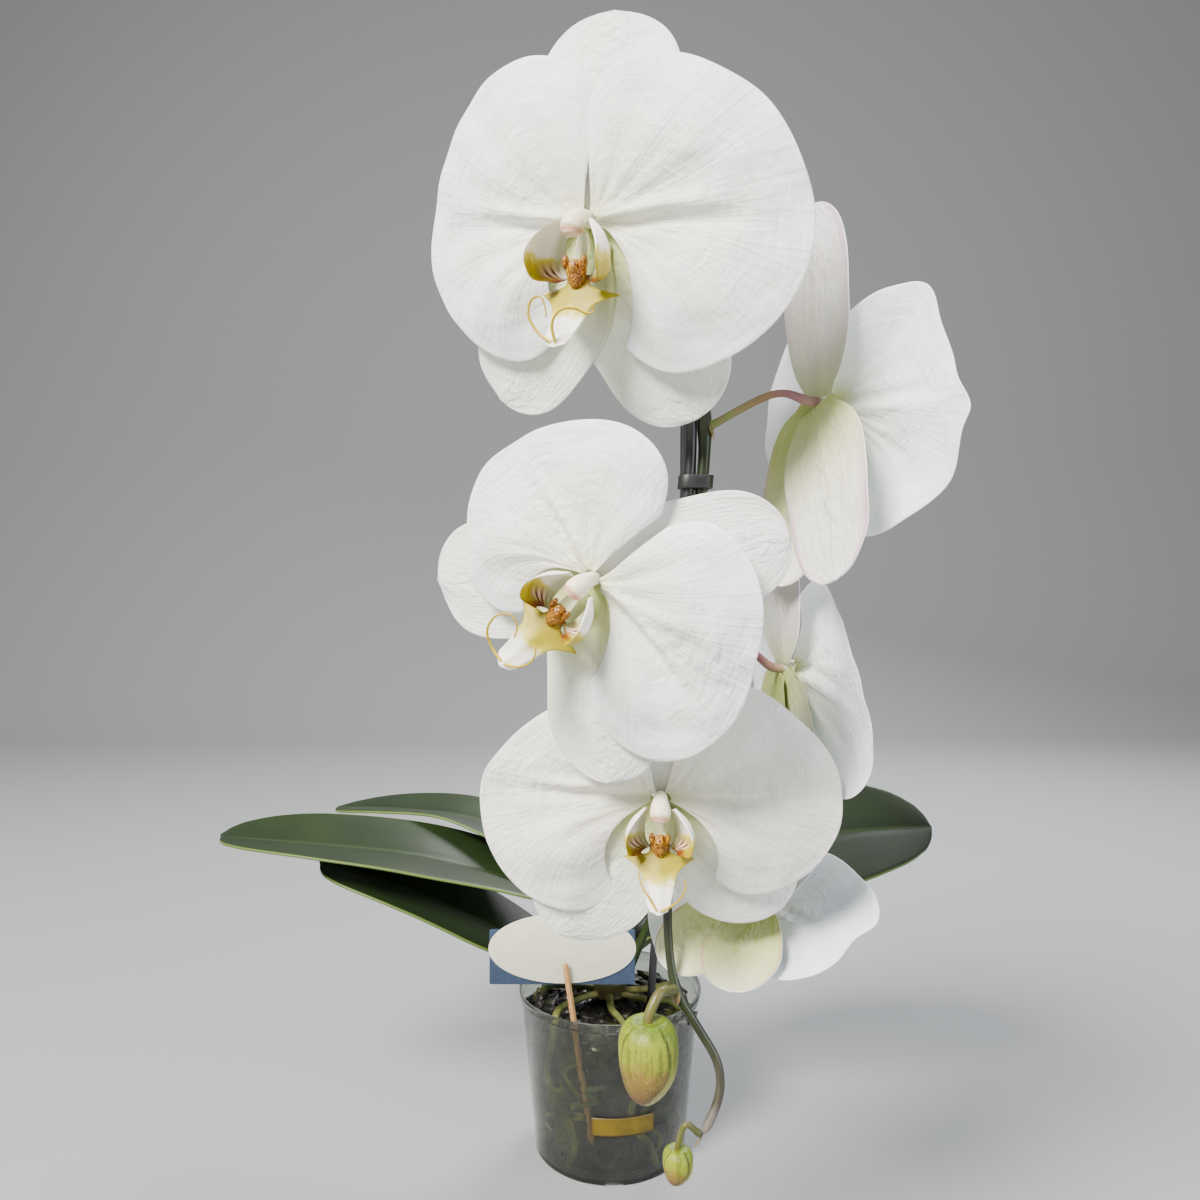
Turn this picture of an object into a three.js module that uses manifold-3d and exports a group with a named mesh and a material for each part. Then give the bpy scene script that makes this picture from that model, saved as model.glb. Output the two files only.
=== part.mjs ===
// Potted moth orchid (Phalaenopsis), its flower spike trained over a hoop, in a clear nursery pot.
// Millimetres, +Z up. The origin is the centre of the pot's flat underside, and the flowers hang toward -Y.
import * as THREE from "three";
import { mergeVertices } from "three/addons/utils/BufferGeometryUtils.js";
import Module from "manifold-3d";

const wasm = await Module();
wasm.setup();

// Driving dimensions. Pieces that touch keep SEAT_GAP between their faces.
const SEAT_GAP = 0.3;
const POT = {
  height: 105,
  rimRadius: 61,
  baseRadius: 50,
  wall: 1.3,
  floor: 2.2,
  bandHeight: 7,
  bandStep: 1.4,
  rimWall: 1.6,
  drainHoles: 8,
  drainRadius: 5,
  drainRing: 36,
  notch: { width: 11, depth: 8, height: 2.5, x: 2 },
};
const BARK = { top: 95, shoulder: 3, heap: 1 };
const ROOT = {
  radius: 2.2,
  clearance: 0.6,
  fromWall: 0.9,
  bottom: 7,
  top: 88,
  arch: 99.5,
  headings: [20, 72, 124, 172, 222, 283, 343],
  wander: 0.14,
  steps: 13,
  sides: 6,
};
const CROWN = { bottomRadius: 11, waistRadius: 8.5, topRadius: 6.5, bottom: 97, waist: 136, top: 158 };

// The hoop's rear leg runs from its foot to its shoulder, and a half circle ends in a short front leg.
const HOOP = {
  radius: 2.5,
  foot: [20, -24, 14],
  shoulder: [49, -8, 425],
  reach: 206,
  legEnd: [31, -214, 403],
  legLean: 2,
  points: 28,
  steps: 44,
};

// The spike rises from the crown, follows the hoop from share onHoop.from to onHoop.to, and then hangs free.
// Along the hoop it turns from behind (behindAngle) to beside it between the two shares of turning.
const SPIKE = {
  radius: 2.9,
  steps: 60,
  fromHoop: 0.5,
  behindAngle: 62,
  turning: [0.35, 0.72],
  onHoop: { from: 0.27, to: 0.996, step: 0.029 },
  rising: [
    [11.5, -8.5, 114],
    [19, -10.5, 134],
    [30, -12.5, 162],
  ],
  hanging: [
    [36, -213, 380],
    [33, -209, 345],
    [29, -203, 298],
    [25, -200, 250],
    [24, -201, 212],
    [27.5, -206, 189],
    [36, -209, 175],
    [44.5, -212, 161],
    [46, -213, 151],
    [43.5, -215, 142],
    [37.5, -218, 132],
  ],
};
const CLIP = { height: 6, wall: 1.6, lowerShare: 0.42, frontShare: 0.985 };
const STICK = { radius: 1.9, foot: [-10, -43.2, 13], top: [-28, -55, 140] };
const CARD = {
  thickness: 0.6,
  x: -30,
  width: 90,
  height: 34,
  middle: 142.5,
  ovalWidth: 91,
  ovalHeight: 43,
  ovalMiddle: 148,
};
const LABEL = { width: 40, height: 12, middle: 39, aim: 8, thickness: 0.25 };
const LEAF_THICKNESS = 2.2;
const STALK = { radius: 2, steps: 9, sides: 6, gap: 2.5 * SEAT_GAP };
const COLUMN = { radius: 3.1, length: 7.5, tilt: 0.16 };

// How far each whorl of a flower stands in front of its middle, so that the petals lie over the sepals.
const SEPAL = { thickness: 0.6, foot: 2.5, dorsalLift: -0.6, sideLifts: [-0.6, -2.6] };
const PETAL = { thickness: 0.55, foot: 3.4, footRise: 0.9, crease: 2.6, creaseWidth: 14, lift: 1.8 };
const LIP = {
  thickness: 1.6,
  length: 34,
  rise: 22,
  footHalfWidth: 3.4,
  flare: 9,
  tendrilRadius: 0.7,
  forward: 4.2,
};

// Each flower: the point where its petals meet, where its stalk leaves the spike, how it is turned, its size.
// yaw turns it from the viewer toward +X, nod tips its face down, roll leans its top to the viewer's right.
const FLOWERS = [
  {
    name: "flower_1",
    centre: [-11, -247, 514],
    node: [42, -198, 484],
    bend: [6, -218, 518],
    yaw: -29,
    nod: 15,
    roll: 9,
    dorsal: { length: 77, width: 70, aim: -3, lean: 5 },
    lateral: { length: 89, width: 62, aim: [146, -149], lean: [2, 2] },
    petal: { length: 84, spread: 86, taper: 0.26, aim: [88, -88], lean: [2, 2] },
    lip: 1.2,
  },
  {
    name: "flower_2",
    centre: [88, -222, 447],
    node: [43, -216, 440],
    bend: [70, -219, 452],
    yaw: 115,
    nod: 3,
    roll: 0,
    dorsal: { length: 84, width: 45, aim: 0, lean: 3 },
    lateral: { length: 82, width: 54, aim: [161, -159], lean: [2, -3], lift: [-2.8, -0.4] },
    petal: { length: 67, spread: 80, taper: 0.1, aim: [97, -93], lean: [-18, -18] },
    lip: 1,
  },
  {
    name: "flower_3",
    centre: [-9, -255, 371],
    node: [34, -212, 394],
    bend: [10, -230, 388],
    yaw: -27,
    nod: 10,
    roll: 46,
    dorsal: { length: 77, width: 48, aim: -34, lean: 7 },
    lateral: { length: 86, width: 54, aim: [137, -137], lean: [4, 0], lift: [-2.6, -0.6] },
    petal: { length: 71, spread: 83, taper: 0.12, aim: [77, -92], lean: [2, 0] },
    lip: 1.05,
  },
  {
    name: "flower_4",
    centre: [81, -182, 331],
    node: [32, -211, 342],
    bend: [58, -193, 343],
    yaw: 100,
    nod: 4,
    roll: 0,
    dorsal: { length: 64, width: 52, aim: 0, lean: 6 },
    lateral: { length: 77, width: 44, aim: [156, -156], lean: [-6, -6] },
    petal: { length: 66, spread: 72, taper: 0.1, aim: [103, -90], lean: [-14, -8] },
    lip: 0.95,
  },
  {
    name: "flower_5",
    centre: [19, -224, 279],
    node: [28.5, -203, 295],
    bend: [22.5, -210, 293],
    yaw: -4,
    nod: 8,
    roll: 1,
    dorsal: { length: 56, width: 46, aim: 0, lean: 8, foot: 2.1 },
    lateral: { length: 80, width: 54, aim: [146, -134], lean: [2, 2] },
    petal: { length: 76, spread: 80, taper: 0.38, aim: [87, -87], lean: [5, 0] },
    lip: 1,
  },
  {
    name: "flower_6",
    centre: [66, -178, 220],
    node: [25, -200, 246],
    bend: [48, -190, 241],
    yaw: 152,
    nod: 46,
    roll: -15,
    dorsal: { length: 58, width: 44, aim: 0, lean: 6 },
    lateral: { length: 50, width: 34, aim: [160, -158], lean: [4, 4] },
    petal: { length: 52, spread: 76, taper: 0.1, aim: [90, -90], lean: [0, 0] },
    lip: 0.9,
  },
];

// Each bud hangs on a short stalk, with its tip down.
const BUDS = [
  {
    name: "bud_1",
    node: [25.4, -210, 190],
    bend: [19, -217, 192.5],
    top: [14, -221, 184],
    length: 38,
    width: 25.5,
  },
  {
    name: "bud_2",
    node: [34.2, -220, 133],
    bend: [30, -221.5, 138.5],
    top: [26.8, -219.5, 128],
    length: 17,
    width: 13,
  },
];

// Each leaf follows its midrib from the crown to its tip. roll tips its front edge down.
const LEAVES = [
  {
    name: "leaf_1",
    spine: [[-9.5, 0, 141], [-50, -4, 170], [-120, -10, 193], [-190, -12, 202], [-257, -12, 207]],
    width: 86,
    roll: 8,
    fold: 13,
  },
  {
    name: "leaf_2",
    spine: [[-12.5, -2, 108], [-52, -5, 131], [-104, -11, 160], [-152, -15, 180], [-190, -17, 191]],
    width: 74,
    roll: 14,
    fold: 12,
  },
  {
    name: "leaf_3",
    spine: [[9, 5, 138], [50, 16, 166], [108, 18, 190], [168, 18, 203], [222, 14, 207]],
    width: 94,
    roll: 42,
    fold: 8,
  },
  {
    name: "leaf_4",
    spine: [[-7.1, 4.5, 150], [-44, 24, 186], [-100, 52, 204], [-160, 70, 207], [-208, 82, 205]],
    width: 70,
    roll: 0,
    fold: 12,
  },
  {
    name: "leaf_5",
    spine: [[10, 4, 121], [48, 22, 140], [96, 44, 156], [140, 62, 162], [176, 78, 158]],
    width: 76,
    roll: 6,
    fold: 12,
  },
];

// Finishes
const finish = (color, roughness, metalness = 0) => ({ color, roughness, metalness });
const FINISH = {
  petal: finish(0xefefe9, 0.55),
  sepal: finish(0xeaebd8, 0.55),
  lip: finish(0xe0b83a, 0.45),
  stalk: finish(0x7d7f49, 0.5),
  spike: finish(0x3f5230, 0.45),
  bud: finish(0xc3cb72, 0.5),
  leaf: finish(0x3c5230, 0.4),
  crown: finish(0x55683c, 0.5),
  bark: finish(0x3a2f26, 0.95),
  pot: finish(0xb9bdb6, 0.2),
  hoop: finish(0x1d1f22, 0.35),
  clip: finish(0x17181a, 0.4),
  stick: finish(0xc39a6c, 0.8),
  oval: finish(0xdfdcc9, 0.6),
  card: finish(0x46597a, 0.6),
  label: finish(0xc59b1c, 0.6),
};

const vector = (p) => new THREE.Vector3(...p);
const radians = THREE.MathUtils.degToRad;

function mesh(name, geometry, look) {
  const made = new THREE.Mesh(geometry, new THREE.MeshStandardMaterial(FINISH[look]));
  made.name = name;
  return made;
}

// Boolean work on closed geometries
function toSolid(geometry) {
  const bare = geometry.index ? geometry.toNonIndexed() : geometry.clone();
  bare.deleteAttribute("normal");
  bare.deleteAttribute("uv");
  const merged = mergeVertices(bare, 1e-4);
  return new wasm.Manifold(
    new wasm.Mesh({
      numProp: 3,
      vertProperties: new Float32Array(merged.attributes.position.array),
      triVerts: new Uint32Array(merged.index.array),
    }),
  );
}

function toGeometry(solid) {
  const { vertProperties, triVerts } = solid.getMesh();
  const geometry = new THREE.BufferGeometry();
  geometry.setAttribute("position", new THREE.BufferAttribute(vertProperties, 3));
  geometry.setIndex(new THREE.BufferAttribute(triVerts, 1));
  return geometry;
}

const join = (first, ...others) =>
  toGeometry(others.reduce((solid, other) => solid.add(toSolid(other)), toSolid(first)));
const cut = (first, ...others) =>
  toGeometry(others.reduce((solid, other) => solid.subtract(toSolid(other)), toSolid(first)));

// A round bar along a curve.
function bar(path, radius, steps, sides = 8) {
  const section = new THREE.Shape();
  for (let i = 0; i < sides; i += 1) {
    const angle = (2 * Math.PI * i) / sides;
    const corner = [radius * Math.cos(angle), radius * Math.sin(angle)];
    if (i === 0) section.moveTo(...corner);
    else section.lineTo(...corner);
  }
  section.closePath();
  return new THREE.ExtrudeGeometry(section, { steps, bevelEnabled: false, extrudePath: path });
}

const smooth = (points) => new THREE.CatmullRomCurve3(points, false, "centripetal");

// A closed skin of even thickness behind a grid of points. pointAt takes 0 to 1 along and 0 to 1 across.
function skin(rows, columns, thickness, pointAt) {
  const front = [];
  const back = [];
  const step = 0.02;
  for (let i = 0; i <= rows; i += 1) {
    for (let j = 0; j <= columns; j += 1) {
      const u = i / rows;
      const v = j / columns;
      const point = pointAt(u, v);
      const along = pointAt(Math.min(u + step, 1), v).sub(pointAt(Math.max(u - step, 0), v));
      const across = pointAt(u, Math.min(v + step, 1)).sub(pointAt(u, Math.max(v - step, 0)));
      const normal = across.cross(along).normalize();
      front.push(point);
      back.push(point.clone().addScaledVector(normal, -thickness));
    }
  }
  const width = columns + 1;
  const behind = front.length;
  const faces = [];
  const quad = (a, b, c, d) => faces.push(a, b, c, a, c, d);
  for (let i = 0; i < rows; i += 1) {
    for (let j = 0; j < columns; j += 1) {
      const a = i * width + j;
      quad(a, a + 1, a + 1 + width, a + width);
      quad(behind + a, behind + a + width, behind + a + 1 + width, behind + a + 1);
    }
  }
  const edge = (a, b) => quad(a, behind + a, behind + b, b);
  for (let j = 0; j < columns; j += 1) {
    edge(j, j + 1);
    edge(rows * width + j + 1, rows * width + j);
  }
  for (let i = 0; i < rows; i += 1) {
    edge(i * width + columns, (i + 1) * width + columns);
    edge((i + 1) * width, i * width);
  }
  const geometry = new THREE.BufferGeometry().setFromPoints([...front, ...back]);
  geometry.setIndex(faces);
  return geometry;
}

// Width of a pointed oval blade, as a share of its widest, from its foot (0) to its tip (1).
function ovalWidth(s, lean = 0.9) {
  const place = 0.005 + 0.99 * s ** lean;
  return (1 - Math.abs(2 * place - 1) ** 2.2) ** (1 / 2.2);
}

// A sepal stands along +Y and faces +Z.
function sepal({ length, width, foot = SEPAL.foot }) {
  return skin(4, 4, SEPAL.thickness, (u, v) => {
    const t = 2 * v - 1;
    const neck = 0.6 + 0.4 * Math.min(1, 5 * u);
    const x = 0.5 * width * ovalWidth(u) * neck * t;
    const y = foot + (length - foot) * u;
    const z = -0.05 * length * u * u - 0.02 * width * t * t * ovalWidth(u);
    return new THREE.Vector3(x, y, z);
  });
}

// A petal is a broad fan along +Y that faces +Z, with a shallow crease down its middle.
function petal({ length, spread, taper }) {
  return skin(4, 9, PETAL.thickness, (u, v) => {
    const share = 2 * v - 1;
    const angle = radians(spread) * share;
    const sideLoss = taper * Math.abs(Math.sin(angle)) ** 3;
    const endLoss = 0.36 * Math.abs(share) ** 9;
    const reach = length * (1 - sideLoss) * (1 - endLoss);
    const radius = PETAL.foot + (reach - PETAL.foot) * u;
    const x = radius * Math.sin(angle);
    const y = PETAL.footRise + radius * Math.cos(angle);
    const crease = PETAL.crease * (1 - Math.exp(-((x / PETAL.creaseWidth) ** 2)));
    return new THREE.Vector3(x, y, crease - 4 * u ** 3);
  });
}

// The lip: a floor that runs forward and down, two upright side lobes and a middle lobe with two tendrils.
function lip(size) {
  const floor = skin(5, 2, LIP.thickness, (u, v) => {
    const t = 2 * v - 1;
    const halfWidth = LIP.footHalfWidth + LIP.flare * Math.sin(Math.PI * u) * (1 - 0.45 * u);
    const edgeRise = 1.5 * t * t;
    const y = -LIP.length * u ** 1.25 + edgeRise;
    return new THREE.Vector3(halfWidth * t, y, LIP.rise * Math.sin(1.75 * u) + edgeRise);
  });
  const callus = new THREE.SphereGeometry(1, 6, 5).scale(4.2, 4, 4).translate(0, -9, 13.5);
  const lobes = [-1, 1].map((side) => {
    const lobe = new THREE.SphereGeometry(1, 6, 6).scale(2.3, 9.5, 7.5);
    return lobe.rotateX(-0.35).rotateZ(side * 0.28).translate(side * 10, -5, 11.5);
  });
  const tendrils = [-1, 1].map((side) => {
    const curl = smooth([
      new THREE.Vector3(side * 1.2, -31, 22.7),
      new THREE.Vector3(side * 6, -32.5, 23.5),
      new THREE.Vector3(side * 9.5, -25, 26.5),
    ]);
    return bar(curl, LIP.tendrilRadius, 4, 4);
  });
  const whole = join(floor, callus, ...lobes, ...tendrils).scale(size, size, size);
  return whole.translate(0, -COLUMN.radius - 3 * SEAT_GAP - LIP.thickness * size, LIP.forward);
}

// The rounded column that stands forward from the middle of a flower.
function column() {
  const body = new THREE.CapsuleGeometry(COLUMN.radius, COLUMN.length, 3, 7);
  return body.rotateX(Math.PI / 2 + COLUMN.tilt).translate(0, -0.4, 6.5);
}

// A holder at the flower's middle, turned to its facing, and the rolled face that carries the whorls.
function flowerFrame(flower) {
  const holder = new THREE.Group();
  holder.position.set(...flower.centre);
  holder.rotation.set(radians(90 + flower.nod), 0, radians(flower.yaw), "ZYX");
  const face = new THREE.Group();
  face.rotation.z = radians(-flower.roll);
  holder.add(face);
  holder.updateMatrixWorld(true);
  return { holder, face };
}

// Sets a blade round the flower's middle: aim turns it, lean tips its end back, lift moves it forward.
function place(blade, aim, lean, lift) {
  const turned = new THREE.Group();
  turned.rotation.z = radians(aim);
  blade.rotation.x = radians(-lean);
  blade.position.z = lift;
  turned.add(blade);
  return turned;
}

// Where a stalk leaves the spike's surface: beside the spike's point nearest to near, on the side of toward.
function stalkStart(near, toward) {
  const path = spikePath();
  const samples = path.getSpacedPoints(400);
  const distances = samples.map((point) => point.distanceTo(near));
  const index = distances.indexOf(Math.min(...distances));
  const tangent = path.getTangentAt(index / 400);
  const outward = toward.clone().sub(samples[index]);
  outward.addScaledVector(tangent, -outward.dot(tangent)).normalize();
  return samples[index].clone().addScaledVector(outward, SPIKE.radius + STALK.gap);
}

// The stalk runs from the spike to the back of the flower and on into its column, all one growth.
function stalkAndColumn(flower, face) {
  const toWorld = (x, y, z) => new THREE.Vector3(x, y, z).applyMatrix4(face.matrixWorld);
  const bend = vector(flower.bend);
  const start = stalkStart(vector(flower.node), bend);
  const path = smooth([start, bend, toWorld(0, 0, -7), toWorld(0, 0, 4)]);
  const columnInPlace = column().applyMatrix4(face.matrixWorld);
  return join(bar(path, STALK.radius, STALK.steps, STALK.sides), columnInPlace);
}

function flower(settings) {
  const { name, dorsal, lateral, petal: wing } = settings;
  const { holder, face } = flowerFrame(settings);
  const topBlade = mesh(`${name}_dorsal_sepal`, sepal(dorsal), "sepal");
  face.add(place(topBlade, dorsal.aim, dorsal.lean, SEPAL.dorsalLift));
  const sideLifts = lateral.lift ?? SEPAL.sideLifts;
  ["left", "right"].forEach((side, i) => {
    const sideBlade = mesh(`${name}_sepal_${side}`, sepal(lateral), "sepal");
    const wingBlade = mesh(`${name}_petal_${side}`, petal(wing), "petal");
    face.add(place(sideBlade, lateral.aim[i], lateral.lean[i], sideLifts[i]));
    face.add(place(wingBlade, wing.aim[i], wing.lean[i], PETAL.lift));
  });
  face.add(mesh(`${name}_lip`, lip(settings.lip), "lip"));
  const group = new THREE.Group();
  group.add(holder, mesh(`${name}_stalk_and_column`, stalkAndColumn(settings, face), "stalk"));
  return group;
}

// A bud: an egg of three closed sepals under its curved stalk.
function bud({ name, node, bend, top, length, width }) {
  const start = stalkStart(vector(node), vector(bend));
  const end = vector(top);
  const inside = end.clone().add(new THREE.Vector3(0, 0, -0.12 * length));
  const path = smooth([start, vector(bend), end, inside]);
  const egg = new THREE.SphereGeometry(1, 10, 8).rotateX(Math.PI / 2);
  egg.scale(width / 2, width / 2, length / 2).translate(end.x, end.y, end.z - length / 2);
  return mesh(name, join(egg, bar(path, 0.07 * width + 0.5, 6, 6)), "bud");
}

// The hoop's centre line, from its foot in the bark (share 0) to the end of its front leg (share 1).
function hoopPoint(share) {
  const foot = vector(HOOP.foot);
  const shoulder = vector(HOOP.shoulder);
  const end = vector(HOOP.legEnd);
  const radius = HOOP.reach / 2;
  const lengths = [shoulder.distanceTo(foot), Math.PI * radius, shoulder.z - end.z];
  let distance = share * (lengths[0] + lengths[1] + lengths[2]);
  if (distance <= lengths[0]) return foot.clone().lerp(shoulder, distance / lengths[0]);
  distance -= lengths[0];
  const archEnd = new THREE.Vector3(end.x + HOOP.legLean, end.y, shoulder.z);
  if (distance <= lengths[1]) {
    const turn = distance / radius;
    const across = (1 - Math.cos(turn)) / 2;
    const x = THREE.MathUtils.lerp(shoulder.x, archEnd.x, across);
    const y = shoulder.y - HOOP.reach * across;
    return new THREE.Vector3(x, y, shoulder.z + radius * Math.sin(turn));
  }
  return archEnd.clone().lerp(end, (distance - lengths[1]) / lengths[2]);
}

function hoopPath() {
  const points = [];
  for (let i = 0; i <= HOOP.points; i += 1) points.push(hoopPoint(i / HOOP.points));
  return smooth(points);
}

function hoopTangent(share) {
  const step = 0.004;
  return hoopPoint(share + step).sub(hoopPoint(share - step)).normalize();
}

// The spike keeps an even distance from the hoop: behind it on the way up, beside it over the top.
function spikePointAlongHoop(share) {
  const tangent = hoopTangent(share);
  const side = new THREE.Vector3(1, 0, 0);
  const outward = side.clone().cross(tangent).negate().normalize();
  const turn = radians(SPIKE.behindAngle * (1 - THREE.MathUtils.smoothstep(share, ...SPIKE.turning)));
  const offset = side.multiplyScalar(Math.cos(turn)).addScaledVector(outward, Math.sin(turn));
  return hoopPoint(share).addScaledVector(offset, HOOP.radius + SPIKE.radius + SPIKE.fromHoop);
}

function spikePath() {
  const { from, to, step } = SPIKE.onHoop;
  const points = SPIKE.rising.map(vector);
  for (let share = from; share < to; share += step) points.push(spikePointAlongHoop(share));
  return smooth([...points, ...SPIKE.hanging.map(vector)]);
}

// A clip is a closed link round the hoop and the spike.
function clip(name, share) {
  const middle = hoopPoint(share);
  const beside = spikePointAlongHoop(share);
  const across = beside.clone().sub(middle);
  const reach = across.length();
  const link = new THREE.Shape();
  const inner = SPIKE.radius + SEAT_GAP;
  const outer = inner + CLIP.wall;
  link.absarc(0, 0, outer, Math.PI / 2, 1.5 * Math.PI, false);
  link.absarc(reach, 0, outer, -Math.PI / 2, Math.PI / 2, false);
  const opening = new THREE.Path();
  opening.absarc(0, 0, inner, Math.PI / 2, 1.5 * Math.PI, false);
  opening.absarc(reach, 0, inner, -Math.PI / 2, Math.PI / 2, false);
  link.holes.push(opening);
  const settings = { depth: CLIP.height, bevelEnabled: false, curveSegments: 6 };
  const geometry = new THREE.ExtrudeGeometry(link, settings).translate(0, 0, -CLIP.height / 2);
  const tangent = hoopTangent(share);
  const x = across.normalize();
  const y = tangent.clone().cross(x);
  geometry.applyMatrix4(new THREE.Matrix4().makeBasis(x, y, tangent).setPosition(middle));
  return mesh(name, geometry, "clip");
}

// Half a leaf's width as a share of its widest, from its stem-like foot to its rounded tip.
function leafHalfWidth(u) {
  const blade = Math.min(0.14 + 0.86 * ovalWidth(u, 0.82), 1);
  const foot = THREE.MathUtils.lerp(0.26, 1, THREE.MathUtils.smoothstep(u, 0, 0.25));
  return 0.5 * blade * foot * (u > 0.96 ? 0.8 : 1);
}

// A thick leaf along its midrib, folded into a shallow V.
function leaf({ name, spine, width, roll, fold }) {
  const midrib = smooth(spine.map(vector));
  const foldAngle = radians(fold);
  const rollSense = spine.at(-1)[0] < 0 ? -1 : 1;
  const geometry = skin(10, 4, LEAF_THICKNESS, (u, v) => {
    const t = 2 * v - 1;
    const half = width * leafHalfWidth(u);
    const along = midrib.getTangentAt(u);
    const level = new THREE.Vector3(0, 0, 1).cross(along).normalize();
    const up = along.clone().cross(level);
    const tilt = radians(roll * THREE.MathUtils.smoothstep(u, 0, 0.5) * rollSense);
    const side = level.applyAxisAngle(along, tilt);
    const lift = up.applyAxisAngle(along, tilt);
    const point = midrib.getPointAt(u);
    point.addScaledVector(side, half * t * Math.cos(foldAngle));
    return point.addScaledVector(lift, half * Math.abs(t) * Math.sin(foldAngle));
  });
  return mesh(name, geometry, "leaf");
}

// Radius of the pot's outside below its band, at a height.
function potRadius(z) {
  return THREE.MathUtils.lerp(POT.baseRadius, POT.rimRadius - POT.bandStep, z / POT.height);
}

// A solid of revolution about Z from pairs of radius and height.
function turned(profile, segments) {
  const points = profile.map(([radius, z]) => new THREE.Vector2(radius, z));
  return new THREE.LatheGeometry(points, segments).rotateX(Math.PI / 2);
}

// A tapered pot with a stepped band at its rim, drain holes in its floor and a notch in its front edge.
function pot() {
  const band = POT.height - POT.bandHeight;
  const wallAt = (z) => potRadius(z) - POT.wall;
  const shell = turned(
    [
      [0, 0],
      [POT.baseRadius - 2, 0],
      [POT.baseRadius, 2],
      [potRadius(band), band],
      [potRadius(band) + POT.bandStep, band + 1],
      [POT.rimRadius, POT.height],
      [POT.rimRadius - POT.rimWall, POT.height],
      [wallAt(band + 1), band - 1],
      [wallAt(POT.floor), POT.floor],
      [0, POT.floor],
    ],
    40,
  );
  const holes = [];
  for (let i = 0; i < POT.drainHoles; i += 1) {
    const angle = (2 * Math.PI * (i + 0.5)) / POT.drainHoles;
    const hole = new THREE.CylinderGeometry(POT.drainRadius, POT.drainRadius, 12, 10).rotateX(Math.PI / 2);
    holes.push(hole.translate(POT.drainRing * Math.cos(angle), POT.drainRing * Math.sin(angle), 0));
  }
  const { width, depth, height, x } = POT.notch;
  const notch = new THREE.BoxGeometry(width, depth, 2 * height).translate(x, -POT.baseRadius, 0);
  return mesh("pot", cut(shell, ...holes, notch), "pot");
}

// A root leaves the crown, crosses the bark and wanders down just inside the wall.
function rootPath(heading, bottom = ROOT.bottom) {
  const turns = 6;
  const start = radians(heading);
  const at = (radius, angle, z) => {
    return new THREE.Vector3(radius * Math.cos(angle), radius * Math.sin(angle), z);
  };
  const points = [
    at(5, start - 0.3, ROOT.arch),
    at(26, start - 0.2, ROOT.arch),
    at(44, start - 0.05, ROOT.arch - 1),
  ];
  for (let i = 0; i <= turns; i += 1) {
    const z = THREE.MathUtils.lerp(ROOT.top, i === turns ? bottom : ROOT.bottom, i / turns);
    const angle = start + ROOT.wander * Math.sin(1.3 * i + heading) + 0.05 * i;
    points.push(at(potRadius(z) - POT.wall - ROOT.radius - ROOT.fromWall, angle, z));
  }
  return smooth(points);
}

// The stick's centre line, made longer by extra at both ends.
function stickPath(extra = 0) {
  const foot = vector(STICK.foot);
  const top = vector(STICK.top);
  const reach = top.clone().sub(foot).normalize().multiplyScalar(extra);
  return new THREE.LineCurve3(foot.sub(reach), top.add(reach));
}

// The bark fills the pot and is hollowed where the roots, the hoop's foot and the stick stand.
function bark() {
  const edge = (z) => potRadius(z) - POT.wall - SEAT_GAP;
  const bottom = POT.floor + SEAT_GAP;
  const fill = turned(
    [
      [0, bottom],
      [edge(bottom) - 2 * SEAT_GAP, bottom],
      [edge(BARK.top - BARK.shoulder), BARK.top - BARK.shoulder],
      [48, BARK.top + BARK.heap],
      [30, BARK.top - 1.5],
      [14, BARK.top + BARK.heap],
      [0, BARK.top + BARK.heap],
    ],
    36,
  );
  const footStart = vector(HOOP.foot);
  const footDirection = vector(HOOP.shoulder).sub(footStart).normalize();
  const footPath = new THREE.LineCurve3(
    footStart.clone().addScaledVector(footDirection, -SEAT_GAP),
    footStart.clone().addScaledVector(footDirection, 120),
  );
  const holes = [
    bar(footPath, HOOP.radius + SEAT_GAP + 0.1, 1),
    bar(stickPath(SEAT_GAP + 0.1), STICK.radius + SEAT_GAP + 0.2, 1),
  ];
  for (const heading of ROOT.headings) {
    const path = rootPath(heading, ROOT.bottom - ROOT.clearance);
    holes.push(bar(path, ROOT.radius + ROOT.clearance, ROOT.steps, ROOT.sides));
  }
  return mesh("bark", cut(fill, ...holes), "bark");
}

// The short stem that carries the leaves, with the roots that grow from its foot.
function crownAndRoots() {
  const profile = [
    [0, CROWN.bottom],
    [CROWN.bottomRadius, CROWN.bottom],
    [CROWN.bottomRadius - 0.5, 118],
    [CROWN.waistRadius, CROWN.waist],
    [CROWN.topRadius, CROWN.top - 5],
    [0, CROWN.top],
  ];
  const roots = ROOT.headings.map((heading) => {
    return bar(rootPath(heading), ROOT.radius, ROOT.steps, ROOT.sides);
  });
  return mesh("crown_and_roots", join(turned(profile, 14), ...roots), "crown");
}

// An oval card and the upright card behind it, both against the back of the leaning stick.
function cards() {
  const lowest = CARD.ovalMiddle - CARD.ovalHeight / 2;
  const share = (lowest - STICK.foot[2]) / (STICK.top[2] - STICK.foot[2]);
  const stickBack = THREE.MathUtils.lerp(STICK.foot[1], STICK.top[1], share) + STICK.radius;
  const ovalY = stickBack + 2 * SEAT_GAP + CARD.thickness / 2;
  const oval = new THREE.CylinderGeometry(1, 1, CARD.thickness, 32);
  oval.scale(CARD.ovalWidth / 2, 1, CARD.ovalHeight / 2).translate(CARD.x, ovalY, CARD.ovalMiddle);
  const back = new THREE.BoxGeometry(CARD.width, CARD.thickness, CARD.height);
  back.translate(CARD.x, ovalY + CARD.thickness + SEAT_GAP, CARD.middle);
  return [mesh("oval_card", oval, "oval"), mesh("backing_card", back, "card")];
}

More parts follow.
